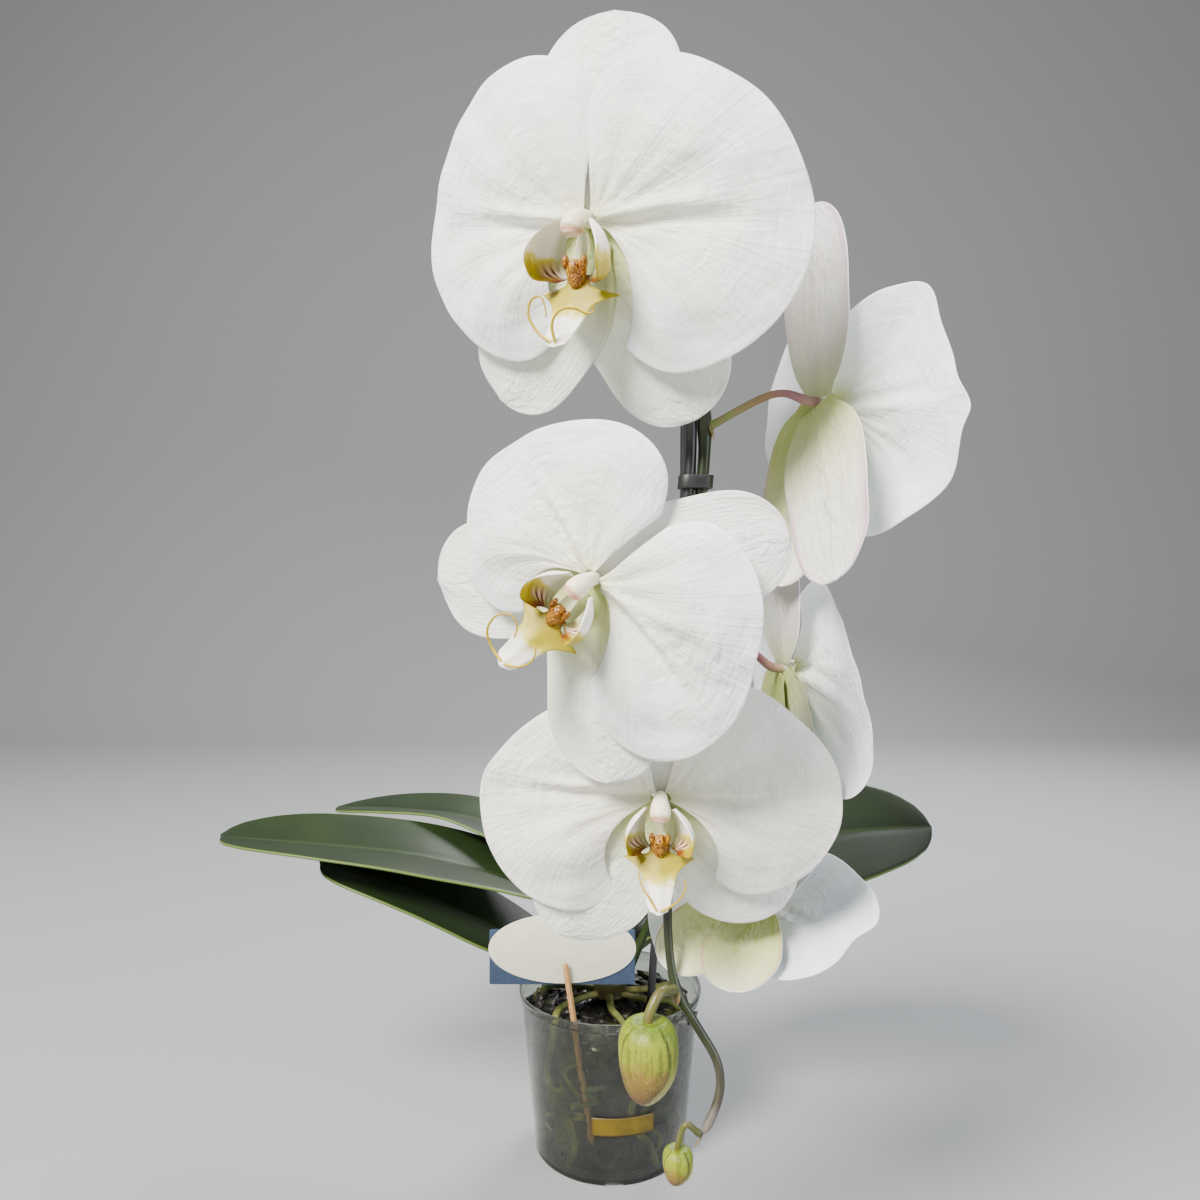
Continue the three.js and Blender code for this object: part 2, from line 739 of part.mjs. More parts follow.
// A bare strip stuck on the front of the pot.
function label() {
  const geometry = skin(1, 8, LABEL.thickness, (u, v) => {
    const z = LABEL.middle + LABEL.height * (u - 0.5);
    const radius = potRadius(z) + LABEL.thickness + SEAT_GAP;
    const angle = -Math.PI / 2 + (LABEL.aim + LABEL.width * (v - 0.5)) / radius;
    return new THREE.Vector3(radius * Math.cos(angle), radius * Math.sin(angle), z);
  });
  return mesh("pot_label", geometry, "label");
}

const orchid = new THREE.Group();
orchid.add(pot(), bark(), crownAndRoots(), label());
orchid.add(mesh("wooden_stick", bar(stickPath(), STICK.radius, 1), "stick"), ...cards());
orchid.add(mesh("hoop", bar(hoopPath(), HOOP.radius, HOOP.steps), "hoop"));
orchid.add(mesh("flower_spike", bar(spikePath(), SPIKE.radius, SPIKE.steps), "spike"));
orchid.add(clip("clip_lower", CLIP.lowerShare), clip("clip_front", CLIP.frontShare));
orchid.add(...LEAVES.map(leaf), ...BUDS.map(bud), ...FLOWERS.map(flower));

export default orchid;
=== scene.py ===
# Potted moth orchid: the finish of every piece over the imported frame.
# Lengths are millimetres until finish_piece() turns them to metres. +Z is up, and the flowers hang toward -Y.
# In a flower's own frame +X is to the viewer's right, +Y is up and +Z is the way the flower faces.
import math
import random
from functools import partial

import bmesh
import bpy
from mathutils import Matrix, Vector, noise


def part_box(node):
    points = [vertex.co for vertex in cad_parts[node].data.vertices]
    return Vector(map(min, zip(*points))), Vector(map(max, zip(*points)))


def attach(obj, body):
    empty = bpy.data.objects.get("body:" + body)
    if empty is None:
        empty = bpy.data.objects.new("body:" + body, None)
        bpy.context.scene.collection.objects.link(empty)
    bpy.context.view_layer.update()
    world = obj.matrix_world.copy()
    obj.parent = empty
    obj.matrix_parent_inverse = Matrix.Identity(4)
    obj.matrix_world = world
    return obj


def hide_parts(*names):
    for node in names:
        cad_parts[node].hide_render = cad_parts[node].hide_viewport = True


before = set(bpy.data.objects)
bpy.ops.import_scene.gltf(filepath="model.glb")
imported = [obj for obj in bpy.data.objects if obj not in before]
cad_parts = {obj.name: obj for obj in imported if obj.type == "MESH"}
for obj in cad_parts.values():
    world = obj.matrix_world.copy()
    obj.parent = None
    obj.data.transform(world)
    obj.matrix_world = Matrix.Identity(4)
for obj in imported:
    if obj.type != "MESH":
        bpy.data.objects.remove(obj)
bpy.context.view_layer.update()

MM = 0.001
TURN = 2 * math.pi

# Places and sizes, as in the frame
CAMERA_PLACE = (-6.7, -607, 363)
CAMERA_LENS = 27.03
POT = {
    "height": 105, "rim": 61, "base": 50, "wall": 1.3, "floor": 2.2, "band": 7, "step": 1.4,
    "hole_ring": 36, "hole": 5, "holes": 8, "notch": (11, 8, 5), "notch_x": 2,
}
ROOT = {"radius": 2.2, "top": 88, "bottom": 7, "arch": 99.5, "headings": (20, 72, 124, 172, 222, 283, 343)}
CROWN = ((97, 11), (118, 10.5), (136, 8.5), (153, 6.5), (158, 2.5))
HOOP = {
    "radius": 2.5, "foot": (20, -24, 14), "shoulder": (49, -8, 425), "reach": 206, "end": (31, -214, 403),
}
SPIKE = {
    "radius": 2.9, "gap": 0.5, "rising": ((11.5, -8.5, 114), (19, -10.5, 134), (30, -12.5, 162)),
    "hanging": (
        (36, -213, 380), (33, -209, 345), (29, -203, 298), (25, -200, 250), (24, -201, 212),
        (27.5, -206, 189), (36, -209, 175), (44.5, -212, 161), (46, -213, 151), (43.5, -215, 142),
        (37.5, -218, 132),
    ),
}
# Places of the clips along the hoop, as shares of its length
CLIPS = {"clip_lower": 0.42, "clip_front": 0.985}
STICK = {"foot": (-10, -43.2, 13), "top": (-28, -55, 140), "width": 3.8, "depth": 2.7}
LABEL = {"width": 40, "height": 12, "middle": 39, "aim": 8}
# A flower's stalk leaves the spike at node and passes bend. turn is its yaw, nod and roll in degrees,
# aim turns a blade round its middle and lean tips it back. Pairs are for the left and the right blade. An
# outline is rows of an angle round the petal's foot, from its lower to its upper edge, and the reach there.
FLOWERS = {
    "flower_1": {
        "centre": (-11, -247, 514), "node": (42, -198, 484), "bend": (6, -218, 518), "turn": (-29, 15, 9),
        "dorsal": {"length": 77, "width": 70, "aim": -3, "lean": 5},
        "laterals": {"lengths": (89, 89), "width": 62, "aims": (146, -149), "leans": (2, 2)},
        "petals": {
            "aims": (88, -88), "leans": (2, 2), "claws": ((0.42, 1.6), (0.3, 1.0)),
            "outlines": (
                (
                    (-78, 43), (-65, 61), (-46, 74), (-20, 81), (4, 80), (28, 77), (49, 73), (66, 67),
                    (83, 56), (94, 44),
                ),
                (
                    (-75, 50), (-60, 68), (-43, 79), (-18, 89), (-1, 89), (24, 81), (42, 72), (59, 66),
                    (80, 55), (90, 43),
                ),
            ),
        },
        "lip": 1.2, "tendrils": "ring", "column": 1.1,
    },
    "flower_2": {
        "centre": (88, -222, 447), "node": (43, -216, 440), "bend": (70, -219, 452), "turn": (115, 3, 0),
        "dorsal": {"length": 84, "width": 45, "aim": 0, "lean": 3},
        "laterals": {
            "lengths": (82, 82), "width": 54, "aims": (161, -159), "leans": (2, -3), "lifts": (-2.8, -0.4),
            "backs": ("lateral_back_pale", "lateral_back"),
        },
        "petals": {
            "aims": (97, -93), "leans": (-18, -18),
            "outlines": (
                (
                    (-78, 42), (-66, 60), (-46, 64), (-28, 68), (-9, 65), (-3, 67), (9, 60), (31, 57),
                    (47, 61), (60, 53), (84, 36),
                ),
                ((-80, 38), (-60, 60), (-40, 65), (-15, 67), (15, 67), (40, 65), (60, 60), (80, 38)),
            ),
        },
        "lip": 1, "tendrils": "open", "column": 1,
    },
    "flower_3": {
        "centre": (-9, -255, 371), "node": (34, -212, 394), "bend": (10, -230, 388), "turn": (-27, 10, 46),
        "dorsal": {"length": 77, "width": 48, "aim": -34, "lean": 7},
        "laterals": {
            "lengths": (86, 86), "width": 54, "aims": (137, -137), "leans": (4, 0), "lifts": (-2.6, -0.6),
        },
        "petals": {
            "aims": (77, -92), "leans": (2, 0), "claws": ((0.45, 2.0), (0.12, 1.1)),
            "outlines": (
                (
                    (-83, 36), (-76, 47), (-59, 59), (-41, 63), (-18, 67), (6, 64), (27, 61), (53, 60),
                    (71, 53), (84, 37),
                ),
                (
                    (-54, 42), (-51, 51), (-40, 66), (-26, 75), (-2, 77), (21, 70), (41, 68), (56, 63),
                    (72, 52), (81, 37),
                ),
            ),
        },
        "lip": 1.05, "tendrils": "loop", "column": 1,
    },
    "flower_4": {
        "centre": (81, -182, 331), "node": (32, -211, 342), "bend": (58, -193, 343), "turn": (100, 4, 0),
        "dorsal": {"length": 64, "width": 52, "aim": 0, "lean": 6},
        "laterals": {
            "lengths": (77, 77), "width": 48, "aims": (156, -156), "leans": (-6, -6),
            "backs": ("lateral_back_pale", "lateral_back"),
        },
        "petals": {
            "aims": (103, -90), "leans": (-14, -8), "claws": ((0.88, 1.2), (0.45, 2.0)),
            "outlines": (
                (
                    (-52, 52), (-38, 68), (-27, 72), (-11, 68), (5, 60), (28, 47), (50, 45), (74, 48),
                    (86, 36),
                ),
                ((-76, 38), (-60, 58), (-38, 64), (-12, 66), (12, 66), (38, 64), (60, 58), (76, 38)),
            ),
        },
        "lip": 0.95, "tendrils": "open", "column": 0.95,
    },
    "flower_5": {
        "centre": (19, -224, 279), "node": (28.5, -203, 295), "bend": (22.5, -210, 293), "turn": (-4, 8, 1),
        "dorsal": {"length": 56, "width": 46, "aim": 0, "lean": 8},
        "laterals": {"lengths": (82, 76), "width": 54, "aims": (146, -134), "leans": (2, 2)},
        "petals": {
            "aims": (87, -87), "leans": (5, 0), "front": "petal_front_cream",
            "outlines": (
                (
                    (-72, 47), (-68, 58), (-52, 71), (-34, 79), (-18, 81), (0, 78), (13, 70), (35, 60),
                    (58, 52), (75, 40),
                ),
                (
                    (-62, 43), (-55, 55), (-39, 66), (-24, 73), (-9, 76), (8, 74), (29, 67), (50, 61),
                    (64, 53), (76, 40),
                ),
            ),
        },
        "lip": 1, "tendrils": "open", "column": 1,
    },
    "flower_6": {
        "centre": (66, -178, 220), "node": (25, -200, 246), "bend": (48, -190, 241), "turn": (152, 46, -15),
        "dorsal": {"length": 58, "width": 44, "aim": 0, "lean": 6},
        "laterals": {
            "lengths": (50, 53), "width": 37, "aims": (160, -158), "leans": (7, 2),
            "backs": ("lateral_back_green", "lateral_back_green"),
        },
        "petals": {
            "aims": (90, -90), "leans": (0, 0),
            "outlines": (
                (
                    (-78, 26), (-60, 36), (-38, 43), (-15, 48), (2, 50), (12, 57), (25, 57), (42, 50),
                    (60, 42), (78, 30),
                ),
                ((-84, 46), (-65, 50), (-40, 52), (-12, 52), (12, 52), (38, 50), (60, 44), (78, 34)),
            ),
        },
        "lip": 0.9, "tendrils": "ring", "column": 0.9,
    },
}
DORSAL_LIFT = -0.6
LATERAL_LIFTS = (-0.6, -2.6)
PETAL_LIFT = 1.8
BUDS = {
    "bud_1": {
        "node": (25.4, -210, 190), "bend": (19, -217, 192.5), "top": (14, -221, 184), "length": 38,
        "width": 25.5,
    },
    "bud_2": {
        "node": (34.2, -220, 133), "bend": (30, -221.5, 138.5), "top": (26.8, -219.5, 128), "length": 17,
        "width": 13,
    },
}
LEAVES = {
    "leaf_1": {
        "spine": ((-9.5, 0, 141), (-50, -4, 170), (-120, -10, 193), (-190, -12, 202), (-257, -12, 207)),
        "width": 86, "roll": 8, "fold": 13,
    },
    "leaf_2": {
        "spine": ((-12.5, -2, 108), (-52, -5, 131), (-104, -11, 160), (-152, -15, 180), (-190, -17, 191)),
        "width": 74, "roll": 14, "fold": 12,
    },
    "leaf_3": {
        "spine": ((9, 5, 138), (50, 16, 166), (108, 18, 190), (168, 18, 203), (222, 14, 207)), "width": 94,
        "roll": 42, "fold": 8,
    },
    "leaf_4": {
        "spine": ((-7.1, 4.5, 150), (-44, 24, 186), (-100, 52, 204), (-160, 70, 207), (-208, 82, 205)),
        "width": 70, "roll": 0, "fold": 12,
    },
    "leaf_5": {
        "spine": ((10, 4, 121), (48, 22, 140), (96, 44, 156), (140, 62, 162), (176, 78, 158)), "width": 76,
        "roll": 6, "fold": 12,
    },
}


# Small sums
def lerp(a, b, share):
    return a + (b - a) * share


def ease(low, high, value):
    """0 below low, 1 above high, and a smooth rise between them."""
    share = min(max((value - low) / (high - low), 0), 1)
    return share * share * (3 - 2 * share)


def hump(value, width):
    """1 at zero, falling off to either side."""
    return math.exp(-((value / width) ** 2))


def hermite(t, start, leave, end, enter):
    """The place t, from 0 to 1, on a curve from start to end that leaves and arrives at the given slopes."""
    before = start * (2 * t**3 - 3 * t**2 + 1) + leave * (t**3 - 2 * t**2 + t)
    return before + end * (3 * t**2 - 2 * t**3) + enter * (t**3 - t**2)


def curve_value(rows, place):
    """A value read off a smooth curve through rows of (place, value)."""
    last = len(rows) - 1
    place = min(max(place, rows[0][0]), rows[last][0])
    start = 0
    while start < last - 1 and place > rows[start + 1][0]:
        start += 1
    (x1, y1), (x2, y2) = rows[start], rows[start + 1]
    x0, y0 = rows[max(start - 1, 0)]
    x3, y3 = rows[min(start + 2, last)]
    leave = (y2 - y0) / (x2 - x0) * (x2 - x1)
    enter = (y3 - y1) / (x3 - x1) * (x2 - x1)
    t = (place - x1) / (x2 - x1)
    return hermite(t, y1, leave, y2, enter)


def smooth_path(points, count):
    """count points, evenly spaced by length, on a centripetal curve through the given points."""
    given = [Vector(p) for p in points]
    ends = [2 * given[0] - given[1], *given, 2 * given[-1] - given[-2]]
    dense = [given[0]]
    for before, start, end, after in zip(ends, ends[1:], ends[2:], ends[3:]):
        gaps = [math.sqrt((q - p).length) for p, q in ((before, start), (start, end), (end, after))]
        leave = (start - before) / gaps[0] - (end - before) / (gaps[0] + gaps[1]) + (end - start) / gaps[1]
        enter = (end - start) / gaps[1] - (after - start) / (gaps[1] + gaps[2]) + (after - end) / gaps[2]
        leave *= gaps[1]
        enter *= gaps[1]
        for i in range(1, 25):
            t = i / 24
            dense.append(hermite(t, start, leave, end, enter))
    lengths = [0]
    for p, q in zip(dense, dense[1:]):
        lengths.append(lengths[-1] + (q - p).length)
    result = []
    place = 0
    for i in range(count):
        wanted = lengths[-1] * i / (count - 1)
        while place < len(dense) - 2 and lengths[place + 1] < wanted:
            place += 1
        span = lengths[place + 1] - lengths[place]
        result.append(dense[place].lerp(dense[place + 1], (wanted - lengths[place]) / span))
    return result


def ring_places(points, normal):
    """A place for a ring at each point of a path, turned with the path but not twisted."""
    places = []
    last = len(points) - 1
    for i, point in enumerate(points):
        tangent = (points[min(i + 1, last)] - points[max(i - 1, 0)]).normalized()
        normal = (normal - tangent * normal.dot(tangent)).normalized()
        turn = Matrix((normal, tangent.cross(normal), tangent)).transposed().to_4x4()
        places.append(Matrix.Translation(point) @ turn)
    return places


# Materials
def linear(code):
    """The linear colour of an sRGB hex value."""
    channels = [int(code[i : i + 2], 16) / 255 for i in (0, 2, 4)]
    return [c / 12.92 if c <= 0.04045 else ((c + 0.055) / 1.055) ** 2.4 for c in channels] + [1]


def add_node(tree, kind, *values, stops=(), **named):
    """Adds a node and returns the output that the finishes read. values fill its first inputs: a map range
    takes its value, then from low, from high, to low and to high. A capital letter names an input, a small
    one a setting, and stops are a ramp's places and colours."""
    made = tree.nodes.new("ShaderNode" + kind)
    inputs = dict(enumerate(values))
    for name, value in named.items():
        if name[0].isupper():
            inputs[name.replace("_", " ")] = value
        else:
            setattr(made, name, value)
    for name, value in inputs.items():
        if isinstance(value, bpy.types.NodeSocket):
            tree.links.new(value, made.inputs[name])
        else:
            made.inputs[name].default_value = linear(value) if isinstance(value, str) else value
    for i, (place, code) in enumerate(stops):
        elements = made.color_ramp.elements
        element = elements[i] if i < 2 else elements.new(place)
        element.position = place
        element.color = linear(code)
    return made.outputs.get("Fac") or made.outputs.get("Object") or made.outputs[0]


def new_material(name, **sockets):
    """A material with one Principled shader, given its fixed values."""
    material = bpy.data.materials.new(name)
    material.use_nodes = True
    tree = material.node_tree
    tree.nodes.clear()
    surface = add_node(tree, "BsdfPrincipled", **sockets)
    tree.links.new(surface, tree.nodes.new("ShaderNodeOutputMaterial").inputs["Surface"])
    return material


def tools_for(material):
    """Two functions for a finish: add() makes a node, and dress() links outputs to the shader and ends it."""
    tree = material.node_tree
    shader = tree.nodes["Principled BSDF"]

    def dress(**sockets):
        for name, socket in sockets.items():
            tree.links.new(socket, shader.inputs[name.replace("_", " ")])
        return material

    return partial(add_node, tree), dress


def start_material(name, **sockets):
    return tools_for(new_material(name, **sockets))


def petal_tissue(name, ramp, vein, veins=34, vein_share=0.12):
    """Petal tissue, grown thin and full of water: velvety, lit from within, with fine veins that fan out."""
    add, dress = start_material(
        name, Roughness=0.58, Subsurface_Weight=0.35, Subsurface_Radius=(1.0, 0.95, 0.85),
        Subsurface_Scale=0.0014, Sheen_Weight=0.08, Sheen_Roughness=0.5, Specular_IOR_Level=0.35,
    )
    along = add("Attribute", attribute_name="along")
    across = add("Attribute", attribute_name="across")
    place = add("TexCoord")
    base = add("ValToRGB", along, stops=ramp)
    # Veins 2 to 3 mm apart at the rim of a petal 80 mm long: noise drawn out along the blade
    fan = add("CombineXYZ", across, along)
    spread = add("VectorMath", fan, (veins / 2, 1.6, 0), operation="MULTIPLY")
    drawn = add("TexNoise", spread, Scale=1, Detail=2, Distortion=0.3)
    off = add("Math", drawn, 0.5, operation="SUBTRACT")
    size = add("Math", off, operation="ABSOLUTE")
    veined = add("MapRange", size, 0, 0.09, 1, 0)
    faint = add("Math", veined, vein_share, operation="MULTIPLY")
    lined = add("MixRGB", faint, base, vein)
    # Faint blotches of 20 mm keep the broad blade from looking printed
    blotches = add("TexNoise", place, Scale=50, Detail=3)
    shade = add("ValToRGB", blotches, stops=((0.35, "f3f3ef"), (0.65, "ffffff")))
    mixed = add("MixRGB", 1, lined, shade, blend_type="MULTIPLY")
    # Puckers 3 to 5 mm long that lie across the veins, deepest near the midline
    crossing = add("VectorMath", fan, (6, 15, 0), operation="MULTIPLY")
    puckers = add("TexNoise", crossing, Scale=1, Detail=3, Distortion=0.5)
    # Painted shade: the hollows of the puckers are darkened toward the vein colour
    hollow = add("MapRange", puckers, 0.5, 0.25, 0, 0.15)
    colour = add("MixRGB", hollow, mixed, vein)
    # Cell clusters of 0.7 mm, coarser than real cells so that they show
    cells = add("TexNoise", place, Scale=1400, Detail=1)
    fine = add("Bump", Height=cells, Strength=0.14, Distance=0.0003)
    reach = add("Math", across, operation="ABSOLUTE")
    near = add("MapRange", reach, 0, 0.7, 1, 0.35)
    depth = add("Math", puckers, near, operation="MULTIPLY")
    wide = add("Bump", Height=depth, Strength=0.7, Distance=0.0024, Normal=fine)
    ribs = add("Bump", Height=veined, Strength=0.35, Distance=0.0004, Normal=wide)
    return dress(Base_Color=colour, Normal=ribs)


def sepal_back_tissue(name, ramp, margin, margin_from):
    """The back of a sepal, thicker and duller than a petal: green at its foot and flushed at its margin."""
    material = petal_tissue(name, ramp, "c9cba8", veins=14, vein_share=0.35)
    add, dress = tools_for(material)
    base = material.node_tree.nodes["Principled BSDF"].inputs["Base Color"].links[0].from_socket
    across = add("Attribute", attribute_name="across")
    along = add("Attribute", attribute_name="along")
    reach = add("Math", across, operation="ABSOLUTE")
    edge = add("MapRange", reach, margin_from, 0.99, 0, 0.75)
    rise = add("MapRange", along, 0.12, 0.5)
    share = add("Math", edge, rise, operation="MULTIPLY")
    flushed = add("MixRGB", share, base, margin)
    return dress(Base_Color=flushed)


def waxy_tissue(name, ramp, roughness=0.42, glow=0.3):
    """Fleshy tissue with a waxy skin, coloured from its foot to its end: soft highlights and slight pits."""
    add, dress = start_material(
        name, Roughness=roughness, Subsurface_Weight=glow, Subsurface_Radius=(1.0, 0.7, 0.35),
        Subsurface_Scale=0.0015, Specular_IOR_Level=0.45,
    )
    along = add("Attribute", attribute_name="along")
    place = add("TexCoord")
    uneven = add("TexNoise", place, Scale=260, Detail=3)
    shift = add("MapRange", uneven, 0.3, 0.7, -0.05, 0.05)
    wandering = add("Math", along, shift, operation="ADD")
    colour = add("ValToRGB", wandering, stops=ramp)
    # Pits of 2.5 mm, as wide as the soft dents in a fleshy skin
    spots = add("TexNoise", place, Scale=420, Detail=2)
    pits = add("Bump", Height=spots, Strength=0.2, Distance=0.0004)
    return dress(Base_Color=colour, Normal=pits)


def side_lobe_tissue():
    """The lip's side lobes: white above, deep yellow at the foot, with red stripes on the inner foot."""
    add, dress = start_material(
        "lip_side_lobe_tissue", Roughness=0.4, Subsurface_Weight=0.1, Subsurface_Radius=(1.0, 0.85, 0.4),
        Subsurface_Scale=0.0008, Specular_IOR_Level=0.45,
    )
    along = add("Attribute", attribute_name="along")
    across = add("Attribute", attribute_name="across")
    place = add("TexCoord")
    uneven = add("TexNoise", place, Scale=180, Detail=2)
    shift = add("MapRange", uneven, 0.3, 0.7, -0.05, 0.05)
    tilt = add("Math", across, -0.1, shift, operation="MULTIPLY_ADD")
    height = add("Math", along, tilt, operation="ADD")
    base = add(
        "ValToRGB", height,
        stops=(
            (0.0, "6b3204"), (0.06, "825800"), (0.12, "9e8800"), (0.35, "b09e00"), (0.44, "d4c650"),
            (0.5, "f1ede0"),
        ),
    )
    lines = add("CombineXYZ", across, along)
    stripes = add(
        "TexWave", lines, Scale=1.25, Distortion=1.4, Detail=1, Phase_Offset=1.2, bands_direction="X",
    )
    sharp = add("MapRange", stripes, 0.5, 0.72)
    inner = add("MapRange", across, 0.2, -0.15)
    low = add("MapRange", along, 0.38, 0.22)
    near = add("Math", inner, low, operation="MULTIPLY")
    share = add("Math", sharp, near, operation="MULTIPLY")
    above = add("MapRange", along, 0.1, 0.18, 0, 0.75)
    pale = add("Math", near, above, operation="MULTIPLY")
    ground = add("MixRGB", pale, base, "e8c9a8")
    striped = add("MixRGB", share, ground, "5c0f0e")
    # Painted shade: the rear wall of the lobe, turned away from the light, is tinted olive
    deep = add("MapRange", across, -0.45, -0.75, 0, 0.75)
    colour = add("MixRGB", deep, striped, "a3a87c")
    grain = add("TexNoise", place, Scale=700, Detail=2)
    relief = add("Bump", Height=grain, Strength=0.15, Distance=0.0003)
    return dress(Base_Color=colour, Normal=relief)


def callus_tissue():
    """The lip's callus: a half glossy wart, orange with dark red lines that wind over it."""
    add, dress = start_material(
        "callus_tissue", Roughness=0.45, Subsurface_Weight=0.1, Subsurface_Scale=0.0008, Coat_Weight=0.05,
    )
    place = add("TexCoord")
    # Lines 0.6 mm wide and 2 mm apart
    winding = add("TexNoise", place, Scale=400, Detail=1, Distortion=2.4)
    colour = add(
        "ValToRGB", winding,
        stops=(
            (0.34, "ab8604"), (0.43, "a05a04"), (0.46, "3c0602"), (0.52, "3c0602"), (0.55, "a05a04"),
            (0.64, "b08a06"),
        ),
    )
    relief = add("Bump", Height=winding, Strength=0.6, Distance=0.0008)
    return dress(Base_Color=colour, Normal=relief)


def column_tissue():
    """The column: waxy cream, with a tan mouth under its cap and a green stigma on its underside."""
    add, dress = start_material(
        "column_tissue", Roughness=0.4, Subsurface_Weight=0.35, Subsurface_Radius=(1.0, 0.85, 0.7),
        Subsurface_Scale=0.0012,
    )
    along = add("Attribute", attribute_name="along")
    side = add("Attribute", attribute_name="side")
    under = add("MapRange", side, -0.1, -0.75)
    below = add(
        "ValToRGB", along,
        stops=(
            (0.3, "eef0e0"), (0.42, "b9c48a"), (0.64, "a3b06a"), (0.72, "b5785f"), (0.8, "c99b86"),
            (0.9, "eee2d2"),
        ),
    )
    above = add(
        "ValToRGB", along,
        stops=((0.0, "e2e2c6"), (0.3, "efe8ce"), (0.84, "efe2c4"), (0.9, "cf957c"), (0.95, "e4c9ae")),
    )
    colour = add("MixRGB", under, above, below)
    place = add("TexCoord")
    grain = add("TexNoise", place, Scale=600, Detail=2)
    relief = add("Bump", Height=grain, Strength=0.12, Distance=0.0003)
    return dress(Base_Color=colour, Normal=relief)


def stem_tissue(name, ramp, streak, roughness=0.38):
    """A growing stem: smooth and half glossy, green under a thin purple flush that runs in streaks."""
    add, dress = start_material(
        name, Roughness=roughness, Subsurface_Weight=0.12, Subsurface_Radius=(0.8, 1.0, 0.4),
        Subsurface_Scale=0.001, Specular_IOR_Level=0.5,
    )
    along = add("Attribute", attribute_name="along")
    place = add("TexCoord")
    base = add("ValToRGB", along, stops=ramp)
    drawn = add("Mapping", place, Scale=(1, 1, 0.12))
    streaks = add("TexNoise", drawn, Scale=330, Detail=3)
    share = add("MapRange", streaks, 0.4, 0.75, 0, 0.7)
    colour = add("MixRGB", share, base, streak)
    relief = add("Bump", Height=streaks, Strength=0.2, Distance=0.0003)
    return dress(Base_Color=colour, Normal=relief)


def leaf_tissue(name, blade, margin, rib, gloss):
    """A thick leaf with a waxed skin: green, with fine lengthwise veins, a pale midrib and a pale edge."""
    add, dress = start_material(
        name, Roughness=gloss, Specular_IOR_Level=0.35, Subsurface_Weight=0.05, Subsurface_Scale=0.001,
        Coat_Weight=0.06, Coat_Roughness=0.3,
    )
    along = add("Attribute", attribute_name="along")
    across = add("Attribute", attribute_name="across")
    place = add("TexCoord")
    uneven = add("TexNoise", place, Scale=22, Detail=4)
    base = add("ValToRGB", uneven, stops=((0.3, blade[0]), (0.7, blade[1])))
    reach = add("Math", across, operation="ABSOLUTE")
    at_edge = add("MapRange", reach, 0.955, 0.995)
    edged = add("MixRGB", at_edge, base, margin)
    at_rib = add("MapRange", reach, 0.05, 0.0, 0, 0.6)
    ribbed = add("MixRGB", at_rib, edged, rib)
    at_foot = add("MapRange", along, 0.1, 0.0, 0, 0.6)
    colour = add("MixRGB", at_foot, ribbed, rib)
    length = add("CombineXYZ", across, along)
    # Lengthwise veins about 2 mm apart on a blade 80 mm wide
    veins = add(
        "TexWave", length, Scale=6.5, Distortion=0.8, Detail=2, Detail_Scale=0.6, bands_direction="X",
    )
    skin = add("TexNoise", place, Scale=900, Detail=2)
    fine = add("Bump", Height=skin, Strength=0.08, Distance=0.0003)
    relief = add("Bump", Height=veins, Strength=0.1, Distance=0.0004, Normal=fine)
    return dress(Base_Color=colour, Normal=relief)


def root_tissue():
    """Aerial roots: a dull spongy coat, silver where dry and green where wet."""
    add, dress = start_material("root_velamen", Roughness=0.62, Specular_IOR_Level=0.3)
    place = add("TexCoord")
    wet = add("TexNoise", place, Scale=55, Detail=3)
    colour = add(
        "ValToRGB", wet, stops=((0.32, "39431d"), (0.48, "545a29"), (0.6, "75733c"), (0.75, "8f8a64")),
    )
    grain = add("TexNoise", place, Scale=700, Detail=3)
    relief = add("Bump", Height=grain, Strength=0.5, Distance=0.0005)
    return dress(Base_Color=colour, Normal=relief)


def pine_bark():
    """Wet pine bark, chopped: dark brown, layered and rough, with moss where light reaches it."""
    add, dress = start_material("wet_pine_bark", Roughness=0.4, Specular_IOR_Level=0.5)
    tone = add("Attribute", attribute_name="tone")
    place = add("TexCoord")
    layers = add("Mapping", place, Scale=(1, 1, 3))
    flakes = add("TexNoise", layers, Scale=260, Detail=5)
    mixed = add("Math", tone, flakes, operation="MULTIPLY")
    brown = add(
        "ValToRGB", mixed, stops=((0.05, "070504"), (0.25, "110c09"), (0.45, "21170f"), (0.62, "3a2b1e")),
    )
    patches = add("TexNoise", place, Scale=48, Detail=4)
    mossy = add("MapRange", patches, 0.54, 0.66, 0, 0.8)
    colour = add("MixRGB", mossy, brown, "3e4416")
    relief = add("Bump", Height=flakes, Strength=0.9, Distance=0.0012)
    return dress(Base_Color=colour, Normal=relief)


# Polypropylene has 1.49. A lower value softens the bright mirrored edges of so clean a wall
THIN_WALL_IOR = 1.3


def clear_polypropylene():
    """Injection-moulded clear polypropylene: see-through with a milky haze, scuffed and misted inside."""
    add, dress = start_material(
        "clear_polypropylene", IOR=THIN_WALL_IOR, Transmission_Weight=0.975, Specular_IOR_Level=0.5,
    )
    place = add("TexCoord")
    mist = add("TexNoise", place, Scale=30, Detail=5)
    rough = add("MapRange", mist, 0.35, 0.7, 0.03, 0.12)
    colour = add("ValToRGB", mist, stops=((0.3, "b4bbb0"), (0.7, "d9ddd6")))
    scuffs = add("TexNoise", place, Scale=380, Detail=3)
    relief = add("Bump", Height=scuffs, Strength=0.06, Distance=0.0003)
    return dress(Roughness=rough, Base_Color=colour, Normal=relief)


def black_plastic(name, roughness, coat):
    """Black plastic, drawn over wire or moulded: deep black with soft highlights and faint handling marks."""
    add, dress = start_material(name, Specular_IOR_Level=0.5, Coat_Weight=coat, Coat_Roughness=0.25)
    place = add("TexCoord")
    marks = add("TexNoise", place, Scale=150, Detail=4)
    rough = add("MapRange", marks, 0.3, 0.7, roughness, roughness + 0.15)
    colour = add("ValToRGB", marks, stops=((0.3, "141617"), (0.75, "26292a")))
    return dress(Roughness=rough, Base_Color=colour)


